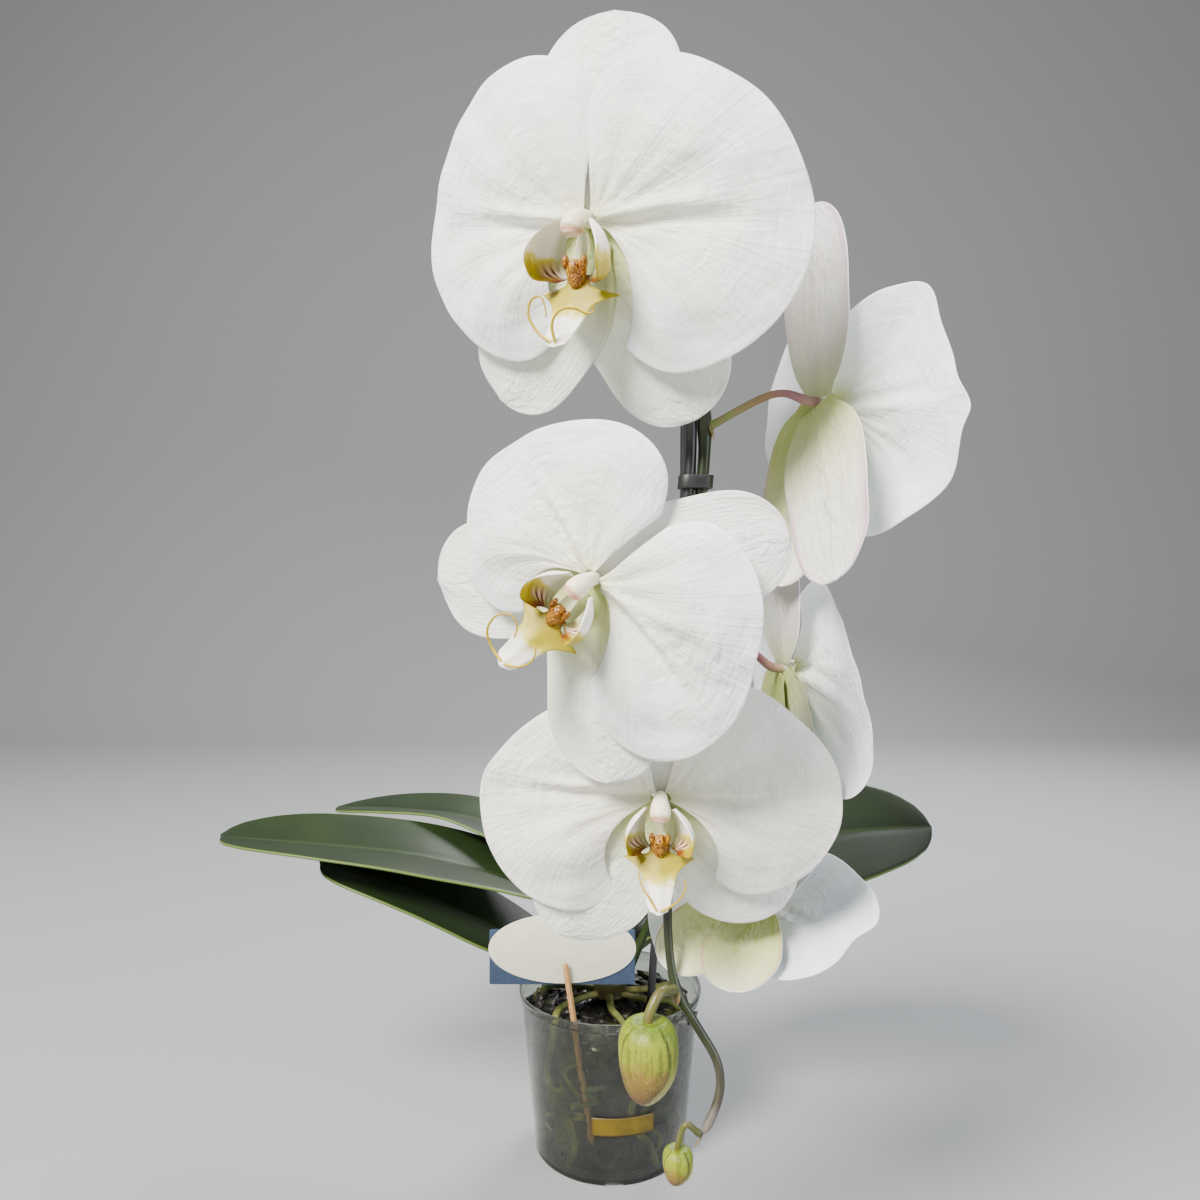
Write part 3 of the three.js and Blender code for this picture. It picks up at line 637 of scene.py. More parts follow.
def birch_wood():
    """A birch stick, split and sanded: pale tan with fine straight grain along it."""
    add, dress = start_material("birch_stick", Roughness=0.66, Specular_IOR_Level=0.3)
    place = add("TexCoord")
    drawn = add("Mapping", place, Rotation=(0.09, 0.14, 0), Scale=(1, 1, 0.05))
    grain = add("TexNoise", drawn, Scale=1500, Detail=4)
    colour = add("ValToRGB", grain, stops=((0.3, "835c35"), (0.5, "a67d4e"), (0.75, "bf996a")))
    relief = add("Bump", Height=grain, Strength=0.3, Distance=0.0003)
    return dress(Base_Color=colour, Normal=relief)


def card_stock(name, pale, dark, roughness):
    """Card, matt varnished: an even colour with a faint fibre grain."""
    add, dress = start_material(name, Roughness=roughness, Specular_IOR_Level=0.35)
    place = add("TexCoord")
    fibre = add("TexNoise", place, Scale=260, Detail=6)
    colour = add("ValToRGB", fibre, stops=((0.3, dark), (0.7, pale)))
    relief = add("Bump", Height=fibre, Strength=0.08, Distance=0.0002)
    return dress(Base_Color=colour, Normal=relief)


def film_label():
    """A yellow film label with a thin brown border: half matt, and duller where water has got under it."""
    add, dress = start_material("film_label", Roughness=0.45, Specular_IOR_Level=0.5)
    along = add("Attribute", attribute_name="along")
    across = add("Attribute", attribute_name="across")
    place = add("TexCoord")
    uneven = add("TexNoise", place, Scale=120, Detail=4)
    base = add("ValToRGB", uneven, stops=((0.3, "4a3e00"), (0.65, "675600")))
    height = add("Math", along, 0.5, operation="SUBTRACT")
    rise = add("Math", height, operation="ABSOLUTE")
    reach = add("Math", across, operation="ABSOLUTE")
    upper = add("MapRange", rise, 0.4, 0.42)
    outer = add("MapRange", reach, 0.94, 0.95)
    border = add("Math", upper, outer, operation="MAXIMUM")
    share = add("Math", border, 0.55, operation="MULTIPLY")
    colour = add("MixRGB", share, base, "3f2c08")
    return dress(Base_Color=colour)


def studio_paper():
    """Matt studio paper for the floor and the wall behind it."""
    return new_material("studio_paper", Roughness=0.9, Specular_IOR_Level=0.2, Base_Color="8f9193")


def bud_tissue():
    """A closed bud: waxy yellow green, ribbed lengthwise, and flushed tan and pink toward its tip."""
    add, dress = start_material(
        "bud_tissue", Roughness=0.52, Subsurface_Weight=0.2, Subsurface_Radius=(0.8, 1.0, 0.3),
        Subsurface_Scale=0.0015, Specular_IOR_Level=0.4,
    )
    along = add("Attribute", attribute_name="along")
    groove = add("Attribute", attribute_name="groove")
    side = add("Attribute", attribute_name="side")
    place = add("TexCoord")
    uneven = add("TexNoise", place, Scale=90, Detail=4)
    shift = add("MapRange", uneven, 0.3, 0.7, -0.1, 0.1)
    wandering = add("Math", along, shift, operation="ADD")
    front = add(
        "ValToRGB", wandering,
        stops=(
            (0.0, "567000"), (0.15, "788608"), (0.38, "868e16"), (0.55, "7c6628"), (0.82, "6e4c28"),
            (1.0, "70522f"),
        ),
    )
    beside = add(
        "ValToRGB", wandering, stops=((0.0, "506600"), (0.4, "7c881c"), (0.7, "9c9a50"), (1.0, "b0a47c")),
    )
    base = add("MixRGB", side, front, beside)
    drawn = add("Mapping", place, Scale=(1, 1, 0.1))
    ribs = add("TexNoise", drawn, Scale=520, Detail=2)
    shaded = add("MapRange", ribs, 0.52, 0.34, 0, 0.55)
    ribbed = add("MixRGB", shaded, base, "444e0c")
    # Painted shade: the seams where the sepals overlap are darkened almost to black
    share = add("Math", groove, 0.85, operation="MULTIPLY")
    seamed = add("MixRGB", share, ribbed, "1c2406")
    speckle = add("TexNoise", place, Scale=1100, Detail=2)
    dots = add("MapRange", speckle, 0.55, 0.7, 0, 0.25)
    colour = add("MixRGB", dots, seamed, "c4c060")
    fine = add("Bump", Height=ribs, Strength=0.55, Distance=0.0008)
    relief = add("Bump", Height=speckle, Strength=0.15, Distance=0.0003, Normal=fine)
    return dress(Base_Color=colour, Normal=relief)


FINISH = {
    "petal_front": petal_tissue(
        "petal_front_tissue", ((0.0, "dde4bd"), (0.16, "eceedd"), (0.42, "f4f5ef"), (1.0, "f2f6f8")),
        "d9ddd6",
    ),
    "petal_back": petal_tissue(
        "petal_back_tissue", ((0.0, "ccd69c"), (0.2, "e4e8e0"), (0.7, "e2e9f1"), (1.0, "edf2f8")), "c6ced8",
    ),
    "petal_front_cream": petal_tissue(
        "petal_front_cream_tissue", ((0.0, "dde0b8"), (0.16, "eeecd8"), (0.45, "f5f2e6"), (1.0, "f8f6ef")),
        "dcd9c8",
    ),
    "sepal_front": petal_tissue(
        "sepal_front_tissue", ((0.0, "ecebdc"), (0.12, "f4f3ee"), (1.0, "f7f7f6")), "dcdfd6", 18,
    ),
    "lateral_front": petal_tissue(
        "lateral_sepal_front", ((0.0, "a9b562"), (0.16, "c9d09a"), (0.36, "ecefe0"), (1.0, "f7f7f6")),
        "dcdfd0", 18,
    ),
    "dorsal_back": sepal_back_tissue(
        "dorsal_sepal_back", ((0.0, "b4bc88"), (0.2, "c6c4c2"), (0.7, "cfcad3"), (1.0, "e6e3ea")), "b897b2",
        0.7,
    ),
    "lateral_back": sepal_back_tissue(
        "lateral_sepal_back",
        ((0.0, "9fae48"), (0.25, "b9c36e"), (0.5, "d3d8a4"), (0.75, "eceee4"), (1.0, "f2eff1")), "cf9fb8",
        0.86,
    ),
    "lateral_back_pale": sepal_back_tissue(
        "lateral_sepal_pale_back",
        ((0.0, "aebb62"), (0.14, "cdd3a0"), (0.4, "e3e3d6"), (0.7, "ebe7e8"), (1.0, "f0ecef")), "bd7aa0",
        0.82,
    ),
    "lateral_back_green": sepal_back_tissue(
        "lateral_sepal_green_back", ((0.0, "98a742"), (0.3, "b4be6e"), (0.65, "c9cf98"), (1.0, "dcdfc6")),
        "b07a72", 0.88,
    ),
    "side_lobe": side_lobe_tissue(),
    "mid_lobe": waxy_tissue(
        "lip_middle_lobe_tissue",
        (
            (0.0, "662c02"), (0.07, "805e00"), (0.14, "958400"), (0.38, "a29600"), (0.5, "c6ba3c"),
            (0.61, "f3f0e4"),
        ),
        roughness=0.55, glow=0.1,
    ),
    "callus": callus_tissue(),
    "claw": waxy_tissue(
        "lip_claw_tissue", ((0.0, "e9ecd8"), (0.7, "d3d8a6"), (1.0, "c9a030")), roughness=0.45,
    ),
    "tendril": waxy_tissue(
        "tendril_tissue", ((0.0, "cdbb3a"), (0.25, "b49c00"), (1.0, "a88e00")), 0.45, glow=0.1,
    ),
    "column": column_tissue(),
    "stalk": stem_tissue(
        "flower_stalk_tissue",
        (
            (0.0, "5d6a30"), (0.2, "77823c"), (0.45, "85703f"), (0.7, "93606a"), (0.9, "a98f76"),
            (1.0, "cfd8a6"),
        ),
        "8a5262",
    ),
    "spike": stem_tissue(
        "flower_spike_tissue",
        (
            (0.0, "24360f"), (0.4, "1f2e0d"), (0.8, "1d290c"), (0.955, "232c10"), (0.985, "474236"),
            (1.0, "857b74"),
        ),
        "1e1710",
    ),
    "bud_stalk": stem_tissue(
        "bud_stalk_tissue", ((0.0, "3f4a18"), (0.3, "5a5f24"), (0.7, "6e6830"), (1.0, "58661a")), "5d4630",
    ),
    "bract": waxy_tissue(
        "bract_tissue", ((0.0, "48522a"), (0.6, "6b6038"), (1.0, "6d5138")), roughness=0.6,
    ),
    "bud": bud_tissue(),
    "leaf_top": leaf_tissue("leaf_upper_skin", ("0f1d07", "182809"), "51652b", "2f421a", 0.52),
    "leaf_under": leaf_tissue("leaf_lower_skin", ("3f4f2a", "4b5c34"), "66783c", "5d6c3e", 0.5),
    "crown": stem_tissue(
        "crown_sheath_tissue", ((0.0, "44381f"), (0.25, "3d4820"), (0.7, "3f5426"), (1.0, "566b34")),
        "453a1e",
    ),
    "root": root_tissue(), "bark": pine_bark(), "pot": clear_polypropylene(),
    "hoop": black_plastic("black_coated_wire", 0.28, 0.2),
    "clip": black_plastic("black_moulded_plastic", 0.42, 0.0), "stick": birch_wood(),
    "oval": card_stock("cream_card", "cfcfb9", "c4c5ad", 0.55),
    "card": card_stock("blue_card", "35435a", "2d3a4f", 0.5), "label": film_label(),
}


# Shaping
def marks(bm):
    """The per-point values that the finishes read: along and across a blade, side round a stem, and so on."""
    layers = bm.verts.layers.float
    return {
        name: layers.get(name) or layers.new(name) for name in ("along", "across", "side", "groove", "tone")
    }


def linked(verts, kind):
    """The edges or faces round some points, each once and in a steady order."""
    return list(dict.fromkeys(item for vert in verts for item in getattr(vert, "link_" + kind)))


def mesh_of(name, bm):
    mesh = bpy.data.meshes.new(name)
    bm.to_mesh(mesh)
    bm.free()
    return mesh


def object_of(name, data):
    made = bpy.data.objects.new(name, data)
    bpy.context.scene.collection.objects.link(made)
    return made


def merge_into(bm, part):
    """Adds a finished part to a bmesh and frees the part."""
    marks(bm)
    mesh = mesh_of("part", part)
    bm.from_mesh(mesh)
    bpy.data.meshes.remove(mesh)


def add_sheet(bm, rows, columns, shape, finish=0, round_ends=False, flip=False):
    """A sheet shaped from a flat grid. shape(along, across) places each point: along runs from 0 at the foot
    to 1 at the tip, and across from -1 to 1. With round_ends the grid is first rounded to a disc."""
    layer = marks(bm)
    made = bmesh.ops.create_grid(bm, x_segments=columns, y_segments=rows, size=1)["verts"]
    for vert in made:
        x, y = vert.co.x, vert.co.y
        share = x
        if round_ends:
            x, y = x * math.sqrt(1 - y * y / 2), y * math.sqrt(1 - x * x / 2)
            share = x / max(math.sqrt(max(1 - y * y, 0)), 0.05)
        vert[layer["across"]] = share
        vert[layer["along"]] = (y + 1) / 2
        vert.co = shape((y + 1) / 2, x)
    faces = linked(made, "faces")
    for face in faces:
        face.material_index = finish
    if flip:
        bmesh.ops.reverse_faces(bm, faces=faces)
    return made


def add_tube(bm, points, radius, sides=12, normal=(0, 0, 1), squash=1, finish=0, end=1):
    """A closed tube along points. radius(share) gives its size, and squash its depth against its width."""
    tube = bmesh.new()
    layer = marks(tube)
    places = ring_places(points, Vector(normal))
    last = len(points) - 1
    widths = [max(radius(i / last), 0.03) for i in range(last + 1)]
    sizes = [Matrix.Diagonal((width, width * squash, 1, 1)) for width in widths]
    ring = bmesh.ops.create_circle(tube, segments=sides, radius=1)["verts"]
    bmesh.ops.transform(tube, matrix=places[0] @ sizes[0], verts=ring)
    edges = linked(ring, "edges")
    bmesh.ops.contextual_create(tube, geom=edges)
    rings = [ring]
    for i in range(1, last + 1):
        made = bmesh.ops.extrude_edge_only(tube, edges=edges)["geom"]
        ring = [item for item in made if isinstance(item, bmesh.types.BMVert)]
        new = set(ring)
        edges = [
            e for e in made if isinstance(e, bmesh.types.BMEdge) and e.verts[0] in new and e.verts[1] in new
        ]
        before = places[i - 1] @ sizes[i - 1]
        bmesh.ops.transform(tube, matrix=places[i] @ sizes[i] @ before.inverted(), verts=ring)
        rings.append(ring)
    bmesh.ops.contextual_create(tube, geom=edges)
    for i, ring in enumerate(rings):
        back = (places[i] @ sizes[i]).inverted()
        for vert in ring:
            vert[layer["along"]] = end * i / last
            vert[layer["side"]] = (back @ vert.co).x
    bmesh.ops.recalc_face_normals(tube, faces=tube.faces)
    for face in tube.faces:
        face.material_index = finish
    merge_into(bm, tube)


def finish_piece(name, bm, finishes, replaced, thickness=0, smooth=1):
    """Turns a bmesh in millimetres into a piece in metres that rides on the body and stands for CAD nodes."""
    bmesh.ops.scale(bm, vec=(MM, MM, MM), verts=bm.verts)
    mesh = mesh_of(name, bm)
    mesh.shade_smooth()
    for finish in finishes:
        mesh.materials.append(FINISH[finish])
    piece = object_of(name, mesh)
    if thickness:
        solid = piece.modifiers.new("thickness", "SOLIDIFY")
        solid.thickness = thickness * MM
        solid.offset = -1
        solid.use_even_offset = True
        solid.material_offset = 1 if len(finishes) > 1 else 0
    if smooth:
        rounding = piece.modifiers.new("rounding", "SUBSURF")
        rounding.levels = smooth
        rounding.render_levels = smooth
    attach(piece, "root")
    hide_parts(*replaced)
    return piece


# Hoop and spike
def hoop_point(share):
    """A point of the hoop's centre line, from its foot in the bark to the end of its front leg."""
    foot, shoulder, end = (Vector(HOOP[name]) for name in ("foot", "shoulder", "end"))
    radius = HOOP["reach"] / 2
    lengths = ((shoulder - foot).length, math.pi * radius, shoulder.z - end.z)
    distance = share * sum(lengths)
    if distance <= lengths[0]:
        return foot.lerp(shoulder, distance / lengths[0])
    distance -= lengths[0]
    arch_end = Vector((end.x + 2, end.y, shoulder.z))
    if distance <= lengths[1]:
        turn = distance / radius
        across = (1 - math.cos(turn)) / 2
        x = lerp(shoulder.x, arch_end.x, across)
        return Vector((x, shoulder.y - HOOP["reach"] * across, shoulder.z + radius * math.sin(turn)))
    return arch_end.lerp(end, (distance - lengths[1]) / lengths[2])


def hoop_direction(share):
    step = 0.004
    return (hoop_point(share + step) - hoop_point(share - step)).normalized()


def spike_point(share):
    """The spike beside the hoop: behind it on the way up, and beside it over the top and in front."""
    direction = hoop_direction(share)
    side = Vector((1, 0, 0))
    outward = -side.cross(direction).normalized()
    turn = math.radians(62 * (1 - ease(0.35, 0.72, share)))
    offset = side * math.cos(turn) + outward * math.sin(turn)
    return hoop_point(share) + offset * (HOOP["radius"] + SPIKE["radius"] + SPIKE["gap"])


def spike_points(count):
    beside = [spike_point(0.27 + 0.029 * i) for i in range(26)]
    return smooth_path([*SPIKE["rising"], *beside, *SPIKE["hanging"]], count)


SPIKE_LAST = 399
SPIKE_LINE = spike_points(SPIKE_LAST + 1)


def nearest_on_spike(point):
    """The index of the point of the spike's line nearest to a place."""
    gaps = [(p - Vector(point)).length for p in SPIKE_LINE]
    return gaps.index(min(gaps))


def stalk_start(near, toward):
    """Where a stalk leaves the spike's skin, on the side of toward."""
    index = nearest_on_spike(near)
    middle = SPIKE_LINE[index]
    tangent = (SPIKE_LINE[min(index + 1, SPIKE_LAST)] - SPIKE_LINE[max(index - 1, 0)]).normalized()
    outward = Vector(toward) - middle
    outward = (outward - tangent * outward.dot(tangent)).normalized()
    return middle + outward * SPIKE["radius"], tangent, outward


def add_bract(bm, middle, tangent, outward, radius, length, wrap):
    """A scale leaf that clasps a stem at a node and points along its growth."""
    aside = tangent.cross(outward)

    def shape(along, across):
        reach = wrap * across * (1 - 0.25 * along)
        swell = radius + 0.25 + 0.5 * along * along
        direction = outward * math.cos(reach) + aside * math.sin(reach)
        return middle + direction * swell + tangent * length * (along - 0.12 - 0.1 * across * across)

    verts = add_sheet(bm, 8, 10, shape, 1, round_ends=True)
    bmesh.ops.solidify(bm, geom=linked(verts, "faces"), thickness=0.5)


def make_hoop():
    bm = bmesh.new()
    points = smooth_path([hoop_point(i / 56) for i in range(57)], 180)
    tips = 0.004
    add_tube(bm, points, lambda s: HOOP["radius"] * min(1, 0.75 + s / tips, 0.75 + (1 - s) / tips), 20)
    finish_piece("hoop_wire", bm, ["hoop"], ["hoop"], smooth=0)


def make_spike():
    bm = bmesh.new()
    flower_nodes = [nearest_on_spike(item["node"]) for item in [*FLOWERS.values(), *BUDS.values()]]
    # Bare nodes stand about 75 mm apart on the way up and over
    bare_nodes = [24, 58, 95, 133, 172]
    swollen = [(index / SPIKE_LAST, 0.75) for index in flower_nodes]
    swollen += [(index / SPIKE_LAST, 0.5) for index in bare_nodes]

    def radius(share):
        slim = lerp(1.04, 0.72, ease(0.55, 0.95, share))
        swell = sum(size * hump(share - place, 0.006) for place, size in swollen)
        tip = math.sqrt(max(1 - max((share - 0.994) / 0.006, 0) ** 2, 0.01))
        return (SPIKE["radius"] * slim + swell * slim) * tip

    add_tube(bm, smooth_path(SPIKE_LINE, 280), radius, 12)
    for index, item in zip(flower_nodes, [*FLOWERS.values(), *BUDS.values()]):
        _, tangent, outward = stalk_start(item["node"], item["bend"])
        add_bract(bm, SPIKE_LINE[index], tangent, outward, radius(index / SPIKE_LAST), 6.5, 1.1)
    for turn, index in enumerate(bare_nodes):
        tangent = (SPIKE_LINE[index + 1] - SPIKE_LINE[index - 1]).normalized()
        outward = tangent.orthogonal().normalized()
        outward.rotate(Matrix.Rotation(2.4 * turn, 3, tangent))
        add_bract(bm, SPIKE_LINE[index], tangent, outward, radius(index / SPIKE_LAST), 17, 2.4)
    finish_piece("spike_stem", bm, ["spike", "bract"], ["flower_spike"])


def make_clip(name, share):
    """A band clip round hoop and spike."""
    bm = bmesh.new()
    middle = hoop_point(share)
    across = spike_point(share) - middle
    reach = across.length
    ring = bmesh.ops.create_circle(bm, segments=40, radius=SPIKE["radius"] + 0.35)["verts"]
    for vert in ring:
        vert.co.x += reach if vert.co.x > 0.001 else 0
        vert.co.z = -3
    edges = linked(ring, "edges")
    made = bmesh.ops.extrude_edge_only(bm, edges=edges)["geom"]
    top = [item for item in made if isinstance(item, bmesh.types.BMVert)]
    bmesh.ops.translate(bm, vec=(0, 0, 6), verts=top)
    bmesh.ops.recalc_face_normals(bm, faces=bm.faces)
    bmesh.ops.solidify(bm, geom=list(bm.faces), thickness=-1.5)
    sharp = [edge for edge in bm.edges if edge.calc_face_angle(0) > 0.8]
    bmesh.ops.bevel(bm, geom=sharp, offset=0.35, segments=2, affect="EDGES", profile=0.5, material=-1)
    tangent = hoop_direction(share)
    x = across.normalized()
    y = tangent.cross(x)
    place = Matrix.Translation(middle) @ Matrix((x, y, tangent)).transposed().to_4x4()
    bmesh.ops.transform(bm, matrix=place, verts=bm.verts)
    bmesh.ops.recalc_face_normals(bm, faces=bm.faces)
    finish_piece(name + "_band", bm, ["clip"], [name], smooth=0)


# Flowers
def flower_place(item):
    yaw, nod, roll = (math.radians(value) for value in item["turn"])
    turned = Matrix.Rotation(yaw, 4, "Z") @ Matrix.Rotation(math.pi / 2 + nod, 4, "X")
    return Matrix.Translation(item["centre"]) @ turned @ Matrix.Rotation(-roll, 4, "Z")


def blade_place(item, aim, lean, lift):
    around = Matrix.Rotation(math.radians(aim), 4, "Z")
    return flower_place(item) @ around @ Matrix.Translation((0, 0, lift)) @ Matrix.Rotation(
        -math.radians(lean), 4, "X",
    )


def make_petal(name, item, hand):
    """A broad petal on a narrow claw. Its midline is creased between a ridge and a furrow, the half toward
    the lip swells forward, and its rim waves and bends back."""
    petals = item["petals"]
    outline = petals["outlines"][hand]
    low, high = outline[0][0], outline[-1][0]
    upward = 1 if hand == 0 else -1
    foot, opening = petals.get("claws", ((0.45, 2.0), (0.45, 2.0)))[hand]
    seed = phase_of(name) + hand

    def shape(along, across):
        upper = (across + 1) / 2
        angle = lerp(low, high, upper)
        claw = lerp(lerp(foot, 1, along**opening), 1 - 0.1 * (1 - along) ** 2.5, upper)
        reach = curve_value(outline, angle) * (1 + 0.006 * math.sin(9 * across + seed))
        turn = math.radians(angle * claw)
        radius = 3.2 + (reach - 3.2) * along
        aside = radius * math.sin(turn)
        y = 0.9 + radius * math.cos(turn)
        middle = hump(along - 0.3, 0.36)
        wander = 1.2 * math.sin(y / 11 + seed)
        ridge = 2.3 * hump(aside - 2.8 - wander, 2.4) - 2 * hump(aside + 2 - wander, 2.8)
        crinkle = 0.32 * math.sin(
            y * 1.25 + 2 * noise.noise(Vector((aside / 6, y / 6, seed)))
        ) * hump(aside, 9)
        crease = 1.9 * (1 - hump(aside, 14))
        swell = 3.6 * hump(angle + 50, 24) * hump(along - 0.66, 0.26)
        swell += 2.2 * hump(angle - 40, 24) * hump(along - 0.6, 0.28)
        rim = 1.3 * along**3 * math.sin(3.1 * across + seed) + 0.8 * along**4 * math.sin(
            8 * across + 3 * seed
        )
        curl = -1.8 * abs(across) ** 5 * along
        soft = 1.8 * noise.noise(Vector((aside / 15 + seed, y / 15, 0)))
        fold = 1.3 * noise.noise(Vector((angle / 11, along * 1.4, seed))) * hump(along - 0.5, 0.34)
        z = crease + (ridge + crinkle) * middle + swell - 4.2 * along**3 + rim + curl + soft * along + fold
        return Vector((upward * aside, y, z))

    bm = bmesh.new()
    add_sheet(bm, 30, 48, shape, flip=hand == 1)
    place = blade_place(item, petals["aims"][hand], petals["leans"][hand], PETAL_LIFT)
    bmesh.ops.transform(bm, matrix=place, verts=bm.verts)
    node = name + ("_petal_left", "_petal_right")[hand]
    finish_piece(
        node + "_blade", bm, [petals.get("front", "petal_front"), "petal_back"], [node],
        thickness=0.5,
    )


def phase_of(name):
    """A steady phase for a flower's own ripples."""
    return sum((i + 1) * ord(letter) for i, letter in enumerate(name)) % 63 / 10


def make_sepal(node, length, width, place, front, back):
    """An oval sepal with a blunt tip, a shallow trough along its midrib and softly waved edges."""
    seed = phase_of(node)
    foot = 1.6

    def shape(along, across):
        along = 1 - (1 - along) ** 1.35
        y = foot + (length - foot) * along
        oval = math.sqrt(max(1 - abs(2 * along - 1) ** 2.6, 0))
        half = 0.5 * width * max(oval * lerp(0.93, 1.0, along**0.7), 0.42 * ease(0.45, 0, along))
        x = half * across * (1 + 0.03 * math.sin(9 * along + seed))
        bend = -0.05 * length * along * along - 0.02 * width * across * across
        trough = -1.0 * hump(x, 2.4) * (1 - along)
        wave = 1.1 * abs(across) ** 3 * math.sin(5 * along + seed + 2 * across)
        crinkle = 0.3 * math.sin(y * 1.1 + 2.5 * noise.noise(Vector((x / 6, y / 6, seed)))) * hump(x, 8)
        soft = 1.0 * noise.noise(Vector((x / 14 + seed, y / 14, 3)))
        return Vector((x, y, bend + trough + wave + crinkle * hump(along - 0.5, 0.35) + soft * along))

    bm = bmesh.new()
    add_sheet(bm, 28, 18, shape)
    bmesh.ops.remove_doubles(bm, verts=bm.verts, dist=0.05)
    bmesh.ops.transform(bm, matrix=place, verts=bm.verts)
    finish_piece(node + "_blade", bm, [front, back], [node], thickness=0.55)


# The lip in its own frame: its foot is under the column, -Y runs down and +Z forward
LIP_FOOT = Vector((0, -4.4, 5))
# Four lines along a side lobe, from its foot to its top: back edge, wall, bulge and front edge
SIDE_LOBE_LINES = (
    ((3.4, -14.6, 2.4), (5.6, -11.6, 1.8), (6.2, -6.8, 1), (5.6, -1.5, 1), (4.2, 2.4, 2)),
    ((5.8, -15.2, 3.2), (9.3, -11.8, 2.6), (10.2, -6.8, 2.4), (8.8, -1.5, 2.6), (5.2, 3, 3.6)),
    ((7.6, -16, 5.5), (13.2, -13.6, 7), (14.6, -8, 8.4), (12.2, -1, 8), (6.4, 4, 5.5)),
    ((6.6, -15.6, 7.5), (11.8, -14.8, 12.8), (12.9, -8.8, 16), (10.8, -2, 13.5), (6, 3.9, 7.2)),
)
MIDDLE_LOBE_LINE = (
    (0, -13, 3.2), (0, -17.5, 5), (0, -22, 8), (0, -27.5, 12.4), (0, -32.5, 17), (0, -36, 20.4),
)
MIDDLE_LOBE_WIDTH = (
    (0, 4.4), (0.1, 4.4), (0.16, 6.4), (0.21, 15), (0.25, 13.4), (0.31, 10.4), (0.4, 7.8), (0.55, 6.6),
    (0.75, 5.4), (0.88, 4.8), (0.92, 3.8), (0.945, 4), (0.965, 2.2), (1, 0.5),
)
TENDRILS = {
    "open": (
        (
            (0.6, -34.6, 19.4), (4, -32.5, 20), (7.5, -29.5, 20.5), (10, -25.5, 20.5), (10.6, -21.5, 20),
            (9, -20.2, 19.5),
        ),
        (
            (-0.6, -34.6, 19.4), (-3.6, -30, 18.4), (-6.4, -26.4, 16.5), (-8.2, -22.5, 14),
            (-8.4, -20.5, 12.5),
        ),
    ),
    "ring": (
        (
            (0.6, -34.6, 19.4), (0.5, -28.5, 21), (3.5, -24.5, 21), (7.5, -24, 18.5), (10.5, -25.5, 16),
            (12.5, -24.5, 15), (12, -23, 15.5),
        ),
        (
            (-0.6, -34.6, 19.4), (-6, -31.5, 19), (-9.6, -26.5, 19), (-8.5, -21.5, 19), (-4.6, -20.5, 19.5),
            (-2.6, -24, 20), (-2, -27, 20.5),
        ),
    ),
    "loop": (
        ((0.6, -34.6, 19.4), (5.5, -30.5, 20), (8, -25, 19.5), (6, -20.5, 19), (3, -21.5, 18.5)),
        (
            (-0.6, -34.6, 19.4), (-7, -33.5, 19.5), (-12, -29, 21), (-12.5, -21.5, 21.5), (-8.5, -17, 21),
            (-4, -19, 20.5), (-2.5, -23.5, 20),
        ),
    ),
}


def add_side_lobe(bm, side):
    """One of two upright lobes that cup the column: a wall that bulges outward and comes in at its rim."""
    lines = [smooth_path(line, 41) for line in SIDE_LOBE_LINES]
    rows = [smooth_path([line[i] for line in lines], 21) for i in range(41)]

    def shape(along, across):
        point = rows[round(along * 40)][round((across + 1) * 10)]
        flare = max(across, 0) ** 6 * math.sin(math.pi * along) * (0.9 + 0.35 * math.sin(13 * along))
        return Vector((side * (point.x + flare), point.y, point.z))

    part = bmesh.new()
    add_sheet(part, 20, 10, shape, 0, flip=side > 0)
    bmesh.ops.solidify(part, geom=list(part.faces), thickness=0.8)
    merge_into(bm, part)


def add_middle_lobe(bm):
    """The lobe in front: two horns that sweep out and back, then a long keeled blade that curves forward."""
    line = smooth_path(MIDDLE_LOBE_LINE, 61)

    def shape(along, across):
        half = curve_value(MIDDLE_LOBE_WIDTH, along)
        middle = line[round(along * 60)]
        horn = hump(along - 0.22, 0.07)
        droop = (1.4 + 2.2 * horn) * across * across * (half / 13)
        keel = 1.1 * hump(across, 0.32) * ease(0.05, 0.4, along) * ease(1, 0.9, along)
        sweep = 0.8 * across * across * horn
        return middle + Vector((half * across, sweep - 0.4 * droop, keel - droop))

    part = bmesh.new()
    add_sheet(part, 60, 10, shape, 1)
    bmesh.ops.solidify(part, geom=list(part.faces), thickness=1.3)
    merge_into(bm, part)


def add_callus(bm):
    """The wart between the side lobes: a rough wedge with two blunt horns at its top corners."""
    mounds = (
        ((0, -13.2, 4.6), (4.6, 5.2, 2.6), 0.42), ((-3.4, -9.4, 5.6), (1.2, 2.4, 1.5), 0),
        ((3.4, -9.4, 5.6), (1.2, 2.4, 1.5), 0), ((0, -11, 6.2), (2.2, 2.4, 1.8), 0),
    )
    for middle, size, taper in mounds:
        part = bmesh.new()
        ball = bmesh.ops.create_uvsphere(part, u_segments=16, v_segments=10, radius=1)["verts"]
        for vert in ball:
            rough = 1 + 0.14 * noise.noise(vert.co * 2.4 + Vector(middle))
            narrow = 1 - taper * (1 - vert.co.y) / 2
            x, y, z = (a * b * rough for a, b in zip(vert.co, size))
            vert.co = Vector(middle) + Vector((x * narrow, y, z))
        for face in part.faces:
            face.material_index = 2
        merge_into(bm, part)


